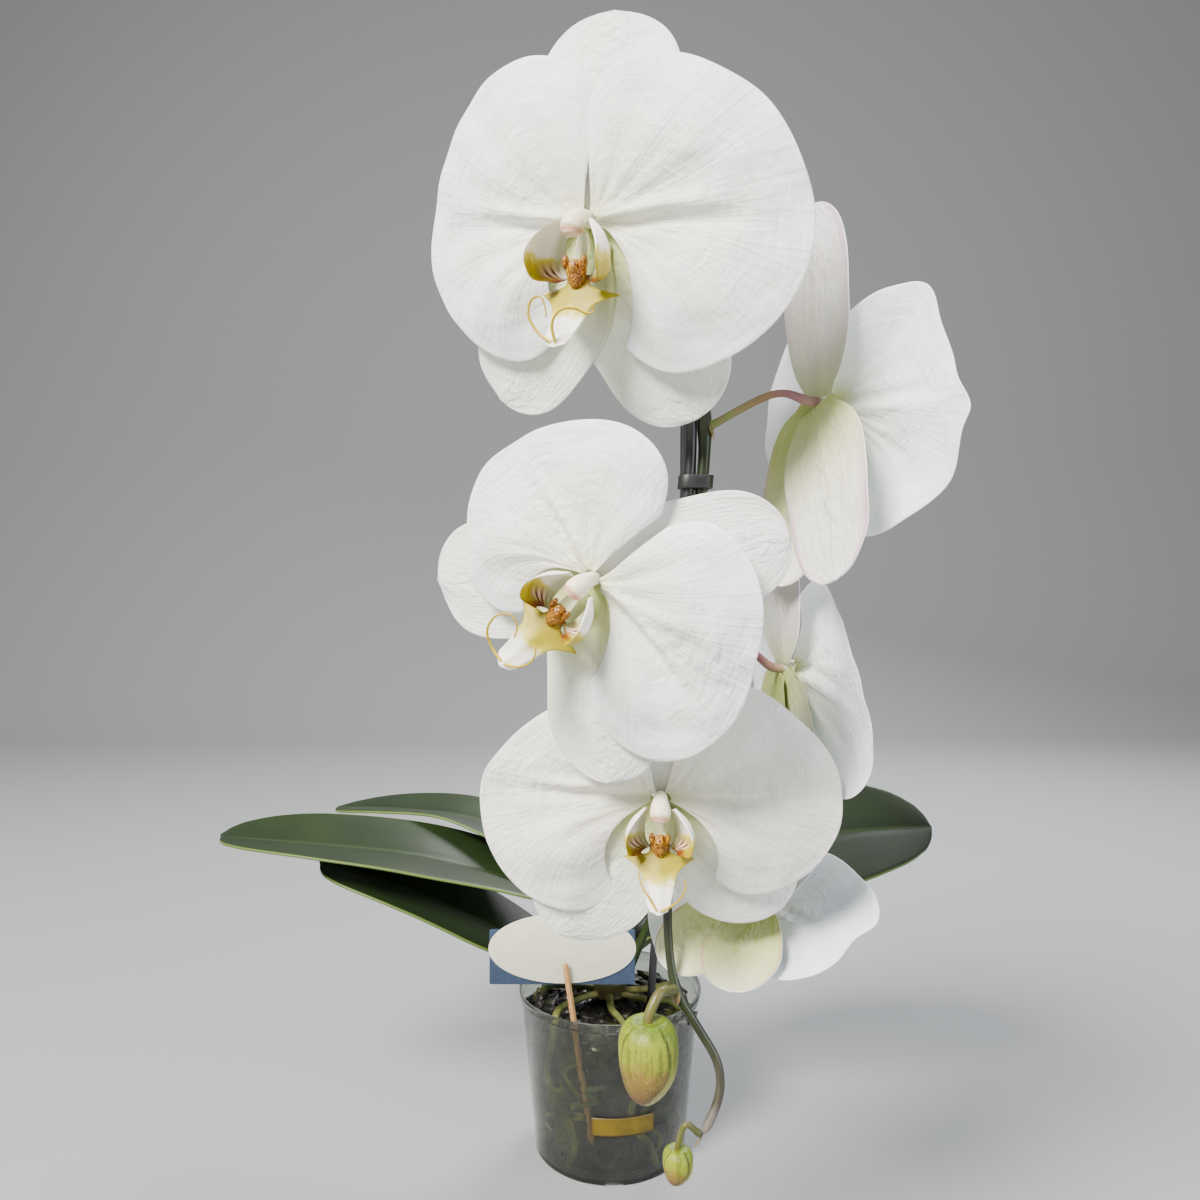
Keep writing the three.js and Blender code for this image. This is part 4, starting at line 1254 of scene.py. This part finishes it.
def make_lip(name, item):
    bm = bmesh.new()
    add_side_lobe(bm, 1)
    add_side_lobe(bm, -1)
    add_middle_lobe(bm)

    def claw(along, across):
        return Vector(
            (across * lerp(1.6, 3.6, along), -13 * along, 3.6 * along**1.5 + 0.8 * across * across)
        )

    part = bmesh.new()
    add_sheet(part, 8, 6, claw, 4)
    bmesh.ops.solidify(part, geom=list(part.faces), thickness=1.2)
    merge_into(bm, part)
    add_callus(bm)
    for points in TENDRILS[item["tendrils"]]:
        add_tube(bm, smooth_path(points, 36), lambda s: lerp(0.7, 0.34, s), 6, finish=3)
    size = item["lip"]
    bmesh.ops.scale(bm, vec=(size, size, size), verts=bm.verts)
    bmesh.ops.translate(bm, vec=LIP_FOOT, verts=bm.verts)
    bmesh.ops.transform(bm, matrix=flower_place(item), verts=bm.verts)
    node = name + "_lip"
    finishes = ["side_lobe", "mid_lobe", "callus", "tendril", "claw"]
    finish_piece(node + "_flesh", bm, finishes, [node])


COLUMN_LINE = ((0, 0.2, -1), (0, 1, 3), (0, 0.8, 7), (0, -0.8, 10.6), (0, -3.4, 12.8), (0, -6, 13.4))
COLUMN_SIZE = (
    (0, 2.6), (0.2, 2.9), (0.45, 3.3), (0.66, 4.2), (0.84, 4.3), (0.93, 3.6), (0.98, 2.2), (1, 0.8),
)


def make_stalk_and_column(name, item):
    """The stalk from the spike to the back of the flower, and the column that stands in its middle."""
    bm = bmesh.new()
    start, _, outward = stalk_start(item["node"], item["bend"])
    place = flower_place(item)
    points = smooth_path(
        [start - outward, item["bend"], place @ Vector((0, 0, -7)), place @ Vector((0, 0, 1))], 60,
    )

    def radius(share):
        # A slim stalk that thickens into the seed chamber behind the flower
        return 1.75 + 0.5 * hump(share, 0.05) + 0.55 * ease(0.6, 0.95, share)

    add_tube(bm, points, radius, 16)
    column = bmesh.new()
    line = smooth_path(COLUMN_LINE, 36)
    add_tube(column, line, lambda s: curve_value(COLUMN_SIZE, s), 24, normal=(0, 1, 0), finish=1)
    layer = marks(column)
    for vert in column.verts:
        along, side = vert[layer["along"]], vert[layer["side"]]
        # The stigma is a hollow on the column's underside, between two low wings
        hollow = hump(along - 0.58, 0.12) * ease(-0.35, -0.95, side)
        mouth = hump(along - 0.9, 0.035) * ease(0.1, 0.9, side)
        vert.co.y += 2.6 * hollow
        vert.co.z -= 0.7 * mouth
    size = item["column"]
    bmesh.ops.scale(column, vec=(size, size, size), verts=column.verts)
    bmesh.ops.transform(column, matrix=place, verts=column.verts)
    merge_into(bm, column)
    node = name + "_stalk_and_column"
    finish_piece(node + "_growth", bm, ["stalk", "column"], [node])


def make_flower(name, item):
    dorsal, laterals = item["dorsal"], item["laterals"]
    place = blade_place(item, dorsal["aim"], dorsal["lean"], DORSAL_LIFT)
    make_sepal(
        name + "_dorsal_sepal", dorsal["length"], dorsal["width"], place, "sepal_front", "dorsal_back",
    )
    lifts = laterals.get("lifts", LATERAL_LIFTS)
    lengths = laterals["lengths"]
    backs = laterals.get("backs", ("lateral_back", "lateral_back"))
    for hand, node in enumerate(("_sepal_left", "_sepal_right")):
        place = blade_place(item, laterals["aims"][hand], laterals["leans"][hand], lifts[hand])
        make_sepal(name + node, lengths[hand], laterals["width"], place, "lateral_front", backs[hand])
        make_petal(name, item, hand)
    make_lip(name, item)
    make_stalk_and_column(name, item)


BUD_RIGHT_SEAM = ((-1, 26), (-0.5, 36), (0, 38), (0.4, 28), (0.7, 8), (0.9, -14), (1, -20))
BUD_LEFT_SEAM = ((-1, -44), (-0.5, -56), (0, -60), (0.5, -54), (0.8, -40), (1, -24))


def make_bud(name, item):
    """A closed bud. Its front sepal overlaps the two at its sides and narrows to a point low on the left."""
    bm = bmesh.new()
    layer = marks(bm)
    length, width = item["length"], item["width"]
    top = Vector(item["top"])
    egg = bmesh.ops.create_uvsphere(bm, u_segments=84, v_segments=36, radius=1)["verts"]
    for vert in egg:
        z = vert.co.z
        # Degrees round the bud from the side that faces the camera
        angle = math.degrees(
            math.atan2(vert.co.x, -vert.co.y)
        ) if math.hypot(vert.co.x, vert.co.y) > 1e-6 else 0
        right = angle - curve_value(BUD_RIGHT_SEAM, -z)
        left = curve_value(BUD_LEFT_SEAM, -z) - angle
        behind = abs(abs(angle) - 172)
        fade = ease(0.99, 0.75, z) * ease(-1, -0.94, z)
        front = 1 - max(ease(-1.5, 2.5, right), ease(-1.5, 2.5, left))
        seam = max(hump(right - 3, 3.4), hump(left - 3, 3.4), hump(behind, 4)) * fade
        swell = 1 + 0.06 * front * fade - 0.06 * seam + 0.014 * math.cos(math.radians(6 * angle))
        profile = max(1 - abs(z) ** (3.5 if z > 0 else 2.05), 0) ** 0.5
        shoulders = 1 + 0.12 * z - 0.05 * z * z
        out = math.hypot(vert.co.x, vert.co.y)
        radius = 0.5 * width * profile * shoulders * swell
        flat = Vector((vert.co.x, vert.co.y, 0)) / out if out > 1e-6 else Vector((0, 0, 0))
        dimple = -0.07 * length * hump(1 - z, 0.06) if z > 0 else 0
        vert.co = top + flat * radius + Vector((0, 0, (z - 1) * length / 2 + dimple + 0.03 * length))
        vert.co.x -= 0.035 * length * ease(-0.2, -1, z)
        vert[layer["along"]] = (1 - z) / 2
        # The groove mark carries the seams to the finish, which paints shade along them
        vert[layer["groove"]] = seam
        vert[layer["side"]] = ease(0, 6, right) if abs(angle) < 150 else 0
    start, _, outward = stalk_start(item["node"], item["bend"])
    inside = top - Vector((0, 0, 0.12 * length))
    stalk_radius = 0.07 * width + 0.5
    points = smooth_path([start - outward, item["bend"], top, inside], 40)
    add_tube(bm, points, lambda s: stalk_radius * (1 + 0.25 * hump(s, 0.08)), 14, finish=1, end=0.45)
    finish_piece(name + "_sepals", bm, ["bud", "bud_stalk"], [name])


# Leaves, crown and roots
def leaf_width(along):
    """Half a leaf's width as a share of its widest."""
    blade = math.sqrt(max(1 - abs(2 * along**0.84 - 1) ** 2.8, 0))
    foot = lerp(0.3, 1, ease(0, 0.26, along))
    return 0.5 * max(blade, 0.32 * ease(0.5, 0, along)) * foot


def make_leaf(name, item):
    """A thick strap of a leaf, folded along its midrib, that clasps the crown at its foot."""
    steps = 300
    line = smooth_path(item["spine"], steps + 1)
    sense = -1 if item["spine"][-1][0] < 0 else 1
    seed = phase_of(name)

    def shape(along, across):
        along = 1 - (1 - along) ** 1.25
        index = min(max(round(along * steps), 1), steps - 1)
        tangent = (line[index + 1] - line[index - 1]).normalized()
        level = Vector((0, 0, 1)).cross(tangent).normalized()
        up = tangent.cross(level)
        tilt = Matrix.Rotation(math.radians(item["roll"]) * ease(0, 0.5, along) * sense, 3, tangent)
        level.rotate(tilt)
        up.rotate(tilt)
        fold = math.radians(lerp(62, item["fold"], ease(0, 0.22, along)))
        half = item["width"] * leaf_width(along)
        wave = 1.6 * across * across * math.sin(
            7 * along + seed + (1 if across > 0 else 0)
        ) * ease(0.2, 0.6, along)
        groove = -0.9 * hump(across * half, 2.2) * ease(1, 0.8, along)
        round_off = 0.06 * half * across * across
        place = line[round(along * steps)]
        return (
            place + level * half * across * math.cos(fold) + up * (
                half * abs(across) * math.sin(fold) - round_off + wave + groove
            )
        )

    bm = bmesh.new()
    add_sheet(bm, 64, 18, shape)
    bmesh.ops.remove_doubles(bm, verts=bm.verts, dist=0.05)
    bmesh.ops.recalc_face_normals(bm, faces=bm.faces)
    up_faces = sum(face.normal.z * face.calc_area() for face in bm.faces)
    if up_faces < 0:
        bmesh.ops.reverse_faces(bm, faces=bm.faces)
    finish_piece(name + "_blade", bm, ["leaf_top", "leaf_under"], [name], thickness=2.1)


def pot_radius(z):
    return lerp(POT["base"], POT["rim"] - POT["step"], z / POT["height"])


def root_points(heading, count=70):
    start = math.radians(heading)

    def at(radius, angle, z):
        return Vector((radius * math.cos(angle), radius * math.sin(angle), z))

    arch = ROOT["arch"]
    points = [at(5, start - 0.3, arch), at(26, start - 0.2, arch), at(44, start - 0.05, arch - 1)]
    for i in range(7):
        z = lerp(ROOT["top"], ROOT["bottom"], i / 6)
        angle = start + 0.14 * math.sin(1.3 * i + heading) + 0.05 * i
        points.append(at(pot_radius(z) - POT["wall"] - ROOT["radius"] - 0.9, angle, z))
    return smooth_path(points, count)


def make_crown_and_roots():
    bm = bmesh.new()
    stem = [Vector((0, 0, z)) for z in (97, 102, 108, 114, 120, 126, 132, 138, 144, 150, 154, 158)]

    def radius(share):
        height = lerp(97, 158, share)
        size = curve_value(CROWN, height)
        # Each sheath widens toward its rim, 9 mm above the last one
        return size + 0.7 * (height / 9 % 1) ** 2

    add_tube(bm, smooth_path(stem, 60), radius, 28, normal=(1, 0, 0), squash=0.86)
    for heading in ROOT["headings"]:
        thick = ROOT["radius"]
        add_tube(
            bm, root_points(heading), lambda s: thick * (1 + 0.12 * math.sin(17 * s + heading)), 12,
            finish=1,
        )
    chance = random.Random(7)
    for _ in range(9):
        # Thinner roots that wander round the inside of the wall
        angle = chance.uniform(0, TURN)
        drift = chance.uniform(-0.9, 0.9)
        low, high = chance.uniform(6, 40), chance.uniform(60, 88)
        phase = chance.uniform(0, TURN)
        thin = chance.uniform(1.2, 1.8)
        points = []
        for i in range(9):
            z = lerp(high, low, i / 8)
            turn = angle + drift * i / 8 + 0.12 * math.sin(1.6 * i + phase)
            reach = pot_radius(z) - POT["wall"] - thin - 0.8
            points.append((reach * math.cos(turn), reach * math.sin(turn), z))
        add_tube(
            bm, smooth_path(points, 60), lambda s: thin * min(1, 0.35 + 6 * s, 0.35 + 6 * (1 - s)), 10,
            finish=1,
        )
    finish_piece("crown_stem_and_roots", bm, ["crown", "root"], ["crown_and_roots"], smooth=0)


def make_bark():
    """Chips of bark against the wall and on top, over a near-black core: painted shade in the gaps."""
    bm = bmesh.new()
    marks(bm)
    core = [(0, 3), (pot_radius(3) - 9, 3), (pot_radius(88) - 9, 88), (0, 89)]
    verts = [bm.verts.new((radius, 0, z)) for radius, z in core]
    edges = [bm.edges.new(pair) for pair in zip(verts, verts[1:])]
    bmesh.ops.spin(
        bm, geom=verts + edges, axis=(0, 0, 1), cent=(0, 0, 0), angle=TURN, steps=48, use_merge=True,
    )
    bmesh.ops.remove_doubles(bm, verts=bm.verts, dist=0.01)
    bmesh.ops.recalc_face_normals(bm, faces=bm.faces)
    chance = random.Random(3)
    places = []
    for _ in range(640):
        z = chance.uniform(11, 92)
        places.append((pot_radius(z) - POT["wall"] - chance.uniform(4.8, 7.6), z, 1.35))
    for _ in range(340):
        places.append((52 * math.sqrt(chance.random()), chance.uniform(88, 94), 0.25))
    for radius, z, upright in places:
        size = (chance.uniform(7, 15), chance.uniform(5, 10), chance.uniform(2.5, 4.5))
        chip = bmesh.new()
        layer = marks(chip)
        bmesh.ops.create_cube(chip, size=1)
        bmesh.ops.scale(chip, vec=size, verts=chip.verts)
        for vert in chip.verts:
            vert.co += Vector([chance.uniform(-0.14, 0.14) * side for side in size])
        bmesh.ops.bevel(
            chip, geom=chip.edges, offset=0.7, segments=1, affect="EDGES", profile=0.5, material=-1,
        )
        spin = Matrix.Rotation(chance.uniform(0, TURN), 4, "Z")
        lean = Matrix.Rotation(upright + chance.uniform(-0.3, 0.3), 4, "Y")
        nod = Matrix.Rotation(chance.uniform(-0.25, 0.25), 4, "X")
        place = Matrix.Rotation(chance.uniform(0, TURN), 4, "Z") @ Matrix.Translation((radius, 0, z))
        bmesh.ops.transform(chip, matrix=place @ nod @ lean @ spin, verts=chip.verts)
        # Chips on top get a darker tone than those against the wall
        tone = chance.uniform(0.2, 0.75) if upright < 1 else chance.uniform(0.35, 1.15)
        for vert in chip.verts:
            vert[layer["tone"]] = tone
        merge_into(bm, chip)
    finish_piece("bark_chips", bm, ["bark"], ["bark"], smooth=0)


# Pot and what it carries
def make_pot():
    """The clear pot: a thin tapered wall, a stepped band at the rim, drain holes and a notch in its foot."""
    bm = bmesh.new()
    band = POT["height"] - POT["band"]
    wall = POT["wall"]
    profile = [
        (0, 0.8), (POT["base"] - 8, 0.8), (POT["base"] - 6, 0), (POT["base"] - 1.2, 0), (POT["base"], 1.2),
        (pot_radius(band), band - 0.4), (pot_radius(band) + 0.3, band),
        (pot_radius(band) + POT["step"] - 0.3, band + 0.5), (pot_radius(band) + POT["step"], band + 1),
        (POT["rim"], POT["height"] - 0.7), (POT["rim"] - 0.3, POT["height"] - 0.1),
        (POT["rim"] - 1.3, POT["height"] - 0.1), (POT["rim"] - 1.6, POT["height"] - 0.7),
        (pot_radius(band) + POT["step"] - wall, band + 2.2), (pot_radius(band) - wall, band + 0.6),
        (pot_radius(POT["floor"]) - wall - 0.8, POT["floor"] + 0.8),
        (pot_radius(POT["floor"]) - wall - 1.6, POT["floor"]), (0, POT["floor"] + 0.4),
    ]
    verts = [bm.verts.new((radius, 0, z)) for radius, z in profile]
    edges = [bm.edges.new(pair) for pair in zip(verts, verts[1:])]
    bmesh.ops.spin(
        bm, geom=verts + edges, axis=(0, 0, 1), cent=(0, 0, 0), angle=TURN, steps=128, use_merge=True,
    )
    bmesh.ops.remove_doubles(bm, verts=bm.verts, dist=0.005)
    bmesh.ops.recalc_face_normals(bm, faces=bm.faces)
    cutter = bmesh.new()
    for i in range(POT["holes"]):
        turn = TURN * (i + 0.5) / POT["holes"]
        place = Matrix.Translation(
            (POT["hole_ring"] * math.cos(turn), POT["hole_ring"] * math.sin(turn), 0)
        )
        bmesh.ops.create_cone(
            cutter, cap_ends=True, segments=32, radius1=POT["hole"], radius2=POT["hole"], depth=12,
            matrix=place,
        )
    box = Matrix.Translation((POT["notch_x"], -POT["base"], 0)) @ Matrix.Diagonal((*POT["notch"], 1))
    bmesh.ops.create_cube(cutter, size=1, matrix=box)
    shapes = (("pot_shell", bm), ("pot_cutter", cutter))
    shells = [object_of(name, mesh_of(name, shape)) for name, shape in shapes]
    holes = shells[0].modifiers.new("holes", "BOOLEAN")
    holes.object = shells[1]
    holes.solver = "EXACT"
    cut = bmesh.new()
    cut.from_object(shells[0], bpy.context.evaluated_depsgraph_get())
    for thing in shells:
        bpy.data.objects.remove(thing)
    piece = finish_piece("pot_wall", cut, ["pot"], ["pot"], smooth=0)
    piece.data.set_sharp_from_angle(angle=math.radians(35))


def make_label():
    bm = bmesh.new()

    def shape(along, across):
        z = LABEL["middle"] + LABEL["height"] * (along - 0.5)
        radius = pot_radius(z) + 0.5
        angle = -math.pi / 2 + (LABEL["aim"] + LABEL["width"] * 0.5 * across) / radius
        return Vector((radius * math.cos(angle), radius * math.sin(angle), z))

    add_sheet(bm, 8, 40, shape)
    bmesh.ops.recalc_face_normals(bm, faces=bm.faces)
    finish_piece("label_film", bm, ["label"], ["pot_label"], thickness=0.2, smooth=0)


def make_stick():
    """A split stick, square with worn corners and a rounded top."""
    bm = bmesh.new()
    foot, top = Vector(STICK["foot"]), Vector(STICK["top"])
    length = (top - foot).length
    bmesh.ops.create_cube(bm, size=1, matrix=Matrix.Diagonal((STICK["width"], STICK["depth"], length, 1)))
    bmesh.ops.bevel(bm, geom=bm.edges, offset=0.5, segments=3, affect="EDGES", profile=0.5, material=-1)
    for vert in bm.verts:
        worn = ease(length / 2 - 3, length / 2, vert.co.z)
        vert.co.x *= 1 - 0.3 * worn
    turn = (top - foot).to_track_quat("Z", "Y").to_matrix().to_4x4() @ Matrix.Rotation(0.35, 4, "Z")
    bmesh.ops.transform(bm, matrix=Matrix.Translation((top + foot) / 2) @ turn, verts=bm.verts)
    finish_piece("stick_wood", bm, ["stick"], ["wooden_stick"], smooth=0)


def make_card(node, finish, round_shape):
    """A thin die-cut card with soft corners."""
    low, high = (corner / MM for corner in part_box(node))
    middle = (low + high) / 2
    size = high - low
    bm = bmesh.new()
    if round_shape:
        bmesh.ops.create_circle(bm, cap_ends=True, segments=96, radius=0.5)
    else:
        bmesh.ops.create_grid(bm, x_segments=1, y_segments=1, size=0.5)
        bmesh.ops.bevel(
            bm, geom=list(bm.verts), offset=0.02, segments=4, affect="VERTICES", profile=0.5, material=-1,
        )
    bmesh.ops.transform(bm, matrix=Matrix.Diagonal((size.x, size.z, 1, 1)), verts=bm.verts)
    bmesh.ops.solidify(bm, geom=list(bm.faces), thickness=size.y)
    rims = [edge for edge in bm.edges if edge.calc_face_angle(0) > 1]
    bmesh.ops.bevel(bm, geom=rims, offset=0.12, segments=2, affect="EDGES", profile=0.5, material=-1)
    centre = (max(vert.co.z for vert in bm.verts) + min(vert.co.z for vert in bm.verts)) / 2
    upright = Matrix.Translation(middle) @ Matrix.Rotation(
        math.pi / 2, 4, "X",
    ) @ Matrix.Translation((0, 0, -centre))
    bmesh.ops.transform(bm, matrix=upright, verts=bm.verts)
    bmesh.ops.recalc_face_normals(bm, faces=bm.faces)
    piece = finish_piece(node + "_stock", bm, [finish], [node], smooth=0)
    piece.data.set_sharp_from_angle(angle=math.radians(40))


# Stage
def make_stage():
    """A sheet of studio paper that runs under the pot and rises in a wide curve behind it."""
    bm = bmesh.new()

    def shape(along, across):
        run = 9600 * along - 2600
        bend_from, radius = 1700, 900
        x = 4200 * across
        if run <= bend_from:
            return Vector((x, run, 0))
        turn = min((run - bend_from) / radius, math.pi / 2)
        rise = max(run - bend_from - radius * math.pi / 2, 0)
        return Vector((x, bend_from + radius * math.sin(turn), radius * (1 - math.cos(turn)) + rise))

    add_sheet(bm, 120, 2, shape)
    bmesh.ops.scale(bm, vec=(MM, MM, MM), verts=bm.verts)
    mesh = mesh_of("studio_floor", bm)
    mesh.shade_smooth()
    mesh.materials.append(studio_paper())
    floor = object_of("studio_floor", mesh)


def add_light(name, place, aim, size, power, colour):
    lamp = bpy.data.lights.new(name, "AREA")
    lamp.shape = "DISK"
    lamp.size = size
    lamp.energy = power
    lamp.color = linear(colour)[:3]
    light = object_of(name, lamp)
    light.location = place
    light.rotation_euler = (Vector(aim) - Vector(place)).to_track_quat("-Z", "Y").to_euler()


def make_lights():
    """A soft lamp high in front on the left, a weak cool one on the right and one behind for the rims."""
    middle = (0.0, -0.15, 0.33)
    add_light("key_lamp", (-1.1, -1.5, 1.9), middle, 0.9, 210, "fff9f1")
    add_light("fill_lamp", (1.8, -1.1, 0.7), middle, 1.3, 32, "e6eeff")
    add_light("back_lamp", (0.6, 1.2, 1.6), middle, 0.9, 60, "ffffff")
    world = bpy.data.worlds.new("studio")
    bpy.context.scene.world = world
    world.use_nodes = True
    sky = world.node_tree.nodes["Background"]
    sky.inputs["Color"].default_value = linear("e4e8ec")
    sky.inputs["Strength"].default_value = 0.42


def make_camera():
    """The camera stands where the photograph's did: level, a hand's breadth above the middle of the plant."""
    camera = bpy.data.cameras.new("camera")
    camera.lens = CAMERA_LENS
    camera.sensor_width = 36
    camera.clip_start = 0.02
    holder = object_of("camera", camera)
    holder.location = Vector(CAMERA_PLACE) * MM
    holder.rotation_euler = (math.pi / 2, 0, 0)
    bpy.context.scene.camera = holder


make_camera()
make_stage()
make_lights()
make_pot()
make_bark()
make_crown_and_roots()
make_label()
make_stick()
make_card("oval_card", "oval", True)
make_card("backing_card", "card", False)
make_hoop()
make_spike()
for clip_name, clip_share in CLIPS.items():
    make_clip(clip_name, clip_share)
for leaf_name, leaf in LEAVES.items():
    make_leaf(leaf_name, leaf)
for bud_name, bud in BUDS.items():
    make_bud(bud_name, bud)
for flower_name, flower in FLOWERS.items():
    make_flower(flower_name, flower)
